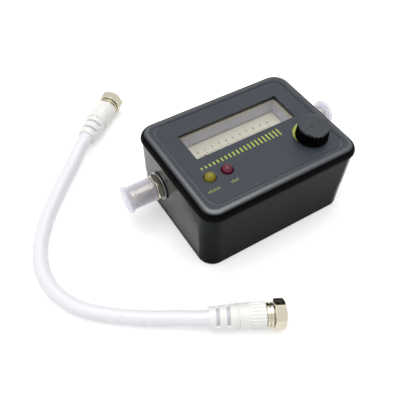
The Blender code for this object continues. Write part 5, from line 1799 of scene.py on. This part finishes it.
@dataclass
class LevelControl:
    """The level knob on its potentiometer."""

    foot: float = 37.5
    top: float = 44.3
    foot_radius: float = 7.3
    top_radius: float = 6.9
    rim: float = 0.75
    dish: float = 0.16
    inner_radius: float = 5.8
    hub: Pair = (3.3, 4.4)
    hub_foot: float = 40.0
    ceiling: float = 43.1
    flutes: int = 24
    flute_radius: float = 0.42
    flute_depth: float = 0.28
    flute_sides: int = 12
    edge_break: float = 0.09
    mark_angle: float = 196.6
    mark_reach: Pair = (1.0, 9.0)
    mark_half: float = 0.36
    mark_depth: float = 0.55
    nut_flats: float = 9.5
    nut: Pair = (37.3, 39.1)
    nut_ease: float = 0.12
    nut_bore: Section = ((37, 0), (37, 3.8), (39.5, 3.8), (39.5, 0))

    def flute_tools(self) -> Piece:
        """Cutters for the flutes, leaning with the knob's wall.

        Returns:
            All the cutters as one piece.
        """
        lean = atan2(self.foot_radius - self.top_radius, self.top - self.foot)
        start, radius = self.foot - PAST, self.flute_radius
        length = self.top - self.rim - start
        section = [(0, 0), (0, radius), (length - 0.3, radius, 0.2), (length, 0)]
        reach = self.foot_radius + radius - self.flute_depth
        seat = upright(reach, 0, start) @ Matrix.Rotation(-lean, 4, "Y")
        return ringed(turned("flute_tool", section, seat, self.flute_sides), self.flutes)

    def build_knob(self) -> None:
        """The knob: tapered fluted wall, dished top with a cut mark, and a hollow with the shaft socket."""
        (bore, hub), inner = self.hub, self.inner_radius
        ceiling, crown, foot, top = self.ceiling, self.top_radius, self.foot, self.top
        section = [
            (ceiling, 0), (ceiling, bore), (self.hub_foot, bore, 0.1), (self.hub_foot, hub, 0.1),
            (ceiling, hub), (ceiling, inner), (foot, inner, 0.1), (foot, self.foot_radius, 0.25),
            (top, crown, 0.55), (top, crown - self.rim, 0.15), (top - self.dish, crown - 1.0, 0.15),
            (top - self.dish, 0),
        ]
        knob = turned("knob", section, None, FINE_SIDES)
        combine(knob, self.flute_tools())
        mark = oblong(*self.mark_reach, -self.mark_half, self.mark_half)
        turn = Matrix.Rotation(radians(self.mark_angle), 4, "Z")
        combine(knob, outlined("mark_tool", mark, top - self.mark_depth, top + PAST, turn))
        break_edges(knob, self.edge_break, angle=FLUTE_CREASE)
        finish_piece(settle(knob, upright(*KNOB_PLACE)), KNOB_ABS, "knob", "level_knob")

    def build(self) -> None:
        """Makes the knob and its nut, and dresses the potentiometer."""
        self.build_knob()
        nut = hex_nut("panel_nut", self.nut_flats, *self.nut, self.nut_ease, self.nut_bore)
        finish_piece(settle(nut, upright(*KNOB_PLACE)), NICKEL, "case", "pot_nut")
        dress({"pot_shaft": ACETAL, "pot_bushing": ZINC, "pot_can": ZINC, "pot_wafer": PHENOLIC})
        LOG.info("level control: knob, panel nut, potentiometer")


@dataclass
class IndicatorLamp:
    """A 5 mm lamp: a cast lens with a flange over its lead frame."""

    colour: str
    x: float
    finish: Finish
    y: float = -11.3
    foot: float = 30.7
    top: float = 39.3
    radius: float = 2.5
    flange: float = 2.9
    flange_height: float = 1.0
    dome_steps: int = 10
    edge_break: float = 0.05
    leg_half: float = 0.25
    leg_foot: float = 17.85
    # Each leg's place along X and the height of its top
    legs: tuple[Pair, ...] = ((-1.27, 34.6), (1.27, 34.0))
    cup: Section = ((34.0, 0), (34.0, 0.5), (35.0, 0.85), (35.0, 0.6), (34.6, 0.2), (34.6, 0))
    cup_x: float = -0.55

    def build(self) -> None:
        """Makes the lens and the lead frame inside it."""
        dome, rim, seat = self.top - self.radius, self.foot + self.flange_height, upright(self.x, self.y)
        arc = [pi / 2 * k / self.dome_steps for k in range(self.dome_steps)]
        section = [
            (self.foot, 0), (self.foot, self.flange, 0.1), (rim, self.flange, 0.15), (rim, self.radius),
            *[(dome + self.radius * sin(a), self.radius * cos(a)) for a in arc], (self.top, 0),
        ]
        lens = turned(f"lamp_lens_{self.colour}", section, seat, HOLE_SIDES)
        finish_piece(lens, self.finish, "case", f"lamp_{self.colour}")
        half = self.leg_half
        legs = [
            outlined("leg", oblong(x - half, x + half, -half, half), self.leg_foot, tip)
            for x, tip in self.legs
        ]
        cup = turned("cup", self.cup, upright(self.cup_x, 0), SMALL_SIDES)
        leads = gather([*legs, cup], f"lamp_leads_{self.colour}")
        break_edges(leads, self.edge_break, 1, LEAD_CREASE)
        finish_piece(settle(leads, seat), TINNED, "case")
        LOG.info("lamp %s: lens and leads", self.colour)


@dataclass
class EndSocket:
    """A threaded F socket through an end wall, with washer, nut and slip-on dust cap, along its own Z."""

    side: str
    face: float = 39.1625
    y: float = 9.7
    z: float = 18.3
    thread_radius: float = 4.65
    thread_depth: float = 0.38
    thread: Pair = (0.4, 14.7)
    nut_flats: float = 11.1
    nut: Pair = (1.2, 3.6)
    nut_ease: float = 0.14
    washer: Section = ((0.3, 4.95, 0.1), (0.3, 6.6, 0.12), (0.9, 6.6, 0.12), (0.9, 4.95, 0.1))
    bore: Section = ((0, 0), (0, 5.2), (1.2, 5.2), (1.5, 4.8), (3.3, 4.8), (3.6, 5.2), (5, 5.2), (5, 0))
    cap: Section = (
        (17.0, 0), (17.0, 6.2, 0.55), (15.4, 6.2, 0.5), (15.4, 5.35, 0.3), (5.0, 5.35, 0.2), (4.8, 5.5, 0.1),
        (3.9, 5.5, 0.12), (3.9, 4.95, 0.08), (15.8, 4.95, 0.4), (15.8, 0),
    )

    @property
    def seat(self) -> Matrix:
        """The socket's axis, outwards from the wall's outer face."""
        right = self.side == "right"
        return lying(self.face if right else -self.face, self.y, self.z, 0.0 if right else pi)

    def build_barrel(self) -> None:
        """The barrel with its flange, bore and a true helical thread."""
        root = self.thread_radius - self.thread_depth
        section = [
            (-5.589, 1.2), (-5.589, 4.2, 0.15), (-4.189, 4.2), (-4.189, 6.2, 0.15), (-2.389, 6.2, 0.15),
            (-2.389, root), (14.55, root, 0.2), (15.0, root - 0.3, 0.1), (15.0, 3.25, 0.1), (5.0, 3.25),
            (5.0, 1.2),
        ]
        ridge = threaded("barrel_thread", self.thread_radius, F_PITCH, *self.thread)
        barrel = settle(gather([turned("barrel", section), ridge], f"socket_barrel_{self.side}"), self.seat)
        finish_piece(barrel, NICKEL, "case", f"f_socket_{self.side}", NUT_SMOOTH)

    def build_fixings(self) -> None:
        """The washer and the hexagon nut."""
        washer = turned(f"socket_washer_{self.side}", self.washer, self.seat)
        finish_piece(washer, ZINC, "case", f"f_washer_{self.side}")
        nut = hex_nut(f"socket_nut_{self.side}", self.nut_flats, *self.nut, self.nut_ease, self.bore)
        finish_piece(settle(nut, self.seat), NICKEL, "case", f"f_nut_{self.side}", NUT_SMOOTH)

    def build_cap(self) -> None:
        """The milky cap: a thin tube with a rounded disc at its closed end and a bead at its mouth."""
        cap = turned(f"cap_{self.side}", self.cap, self.seat, steps=4)
        finish_piece(cap, CAP_POLYETHYLENE, f"cap_{self.side}", f"dust_cap_{self.side}")

    def build(self) -> None:
        """Makes the socket and dresses its insulator and contact."""
        self.build_barrel()
        self.build_fixings()
        self.build_cap()
        dress({f"f_insulator_{self.side}": ACETAL, f"f_contact_{self.side}": BRASS})
        LOG.info("socket %s: barrel, washer, nut, cap", self.side)


@dataclass
class BoardParts:
    """The circuit board and what stands on it, kept from the CAD and dressed."""

    finishes: dict[str, Finish] = field(default_factory=lambda: {
        "circuit_board": BOARD, "amplifier_chip": PACKAGE, "resistor_network": PACKAGE, "transistor_1": PACKAGE,
        "transistor_2": PACKAGE, "capacitor_1": CAN_ALUMINIUM, "capacitor_2": CAN_ALUMINIUM,
        "choke_left": WINDING_X, "choke_right": WINDING_X, "buzzer": PACKAGE, "meter_wire_left": WIRE_GREY,
        "meter_wire_right": WIRE_RED,
    })

    def build(self) -> None:
        """Dresses the board, its parts and the meter's two wires."""
        dress(self.finishes)
        LOG.info("board: %d kept parts dressed", len(self.finishes))


def main() -> None:
    """Builds the studio and every sub-assembly in order."""
    logging.basicConfig(level=logging.INFO, format="%(name)s: %(message)s")
    Studio().build()
    JumperLead().build()
    CaseShell().build()
    LidPrint().build()
    MeterWindow().build()
    LevelControl().build()
    IndicatorLamp("yellow", -27.0, YELLOW_EPOXY).build()
    IndicatorLamp("red", -18.5, RED_EPOXY).build()
    for side in ("left", "right"):
        EndSocket(side).build()
    BoardParts().build()


if __name__ == "__main__":
    main()
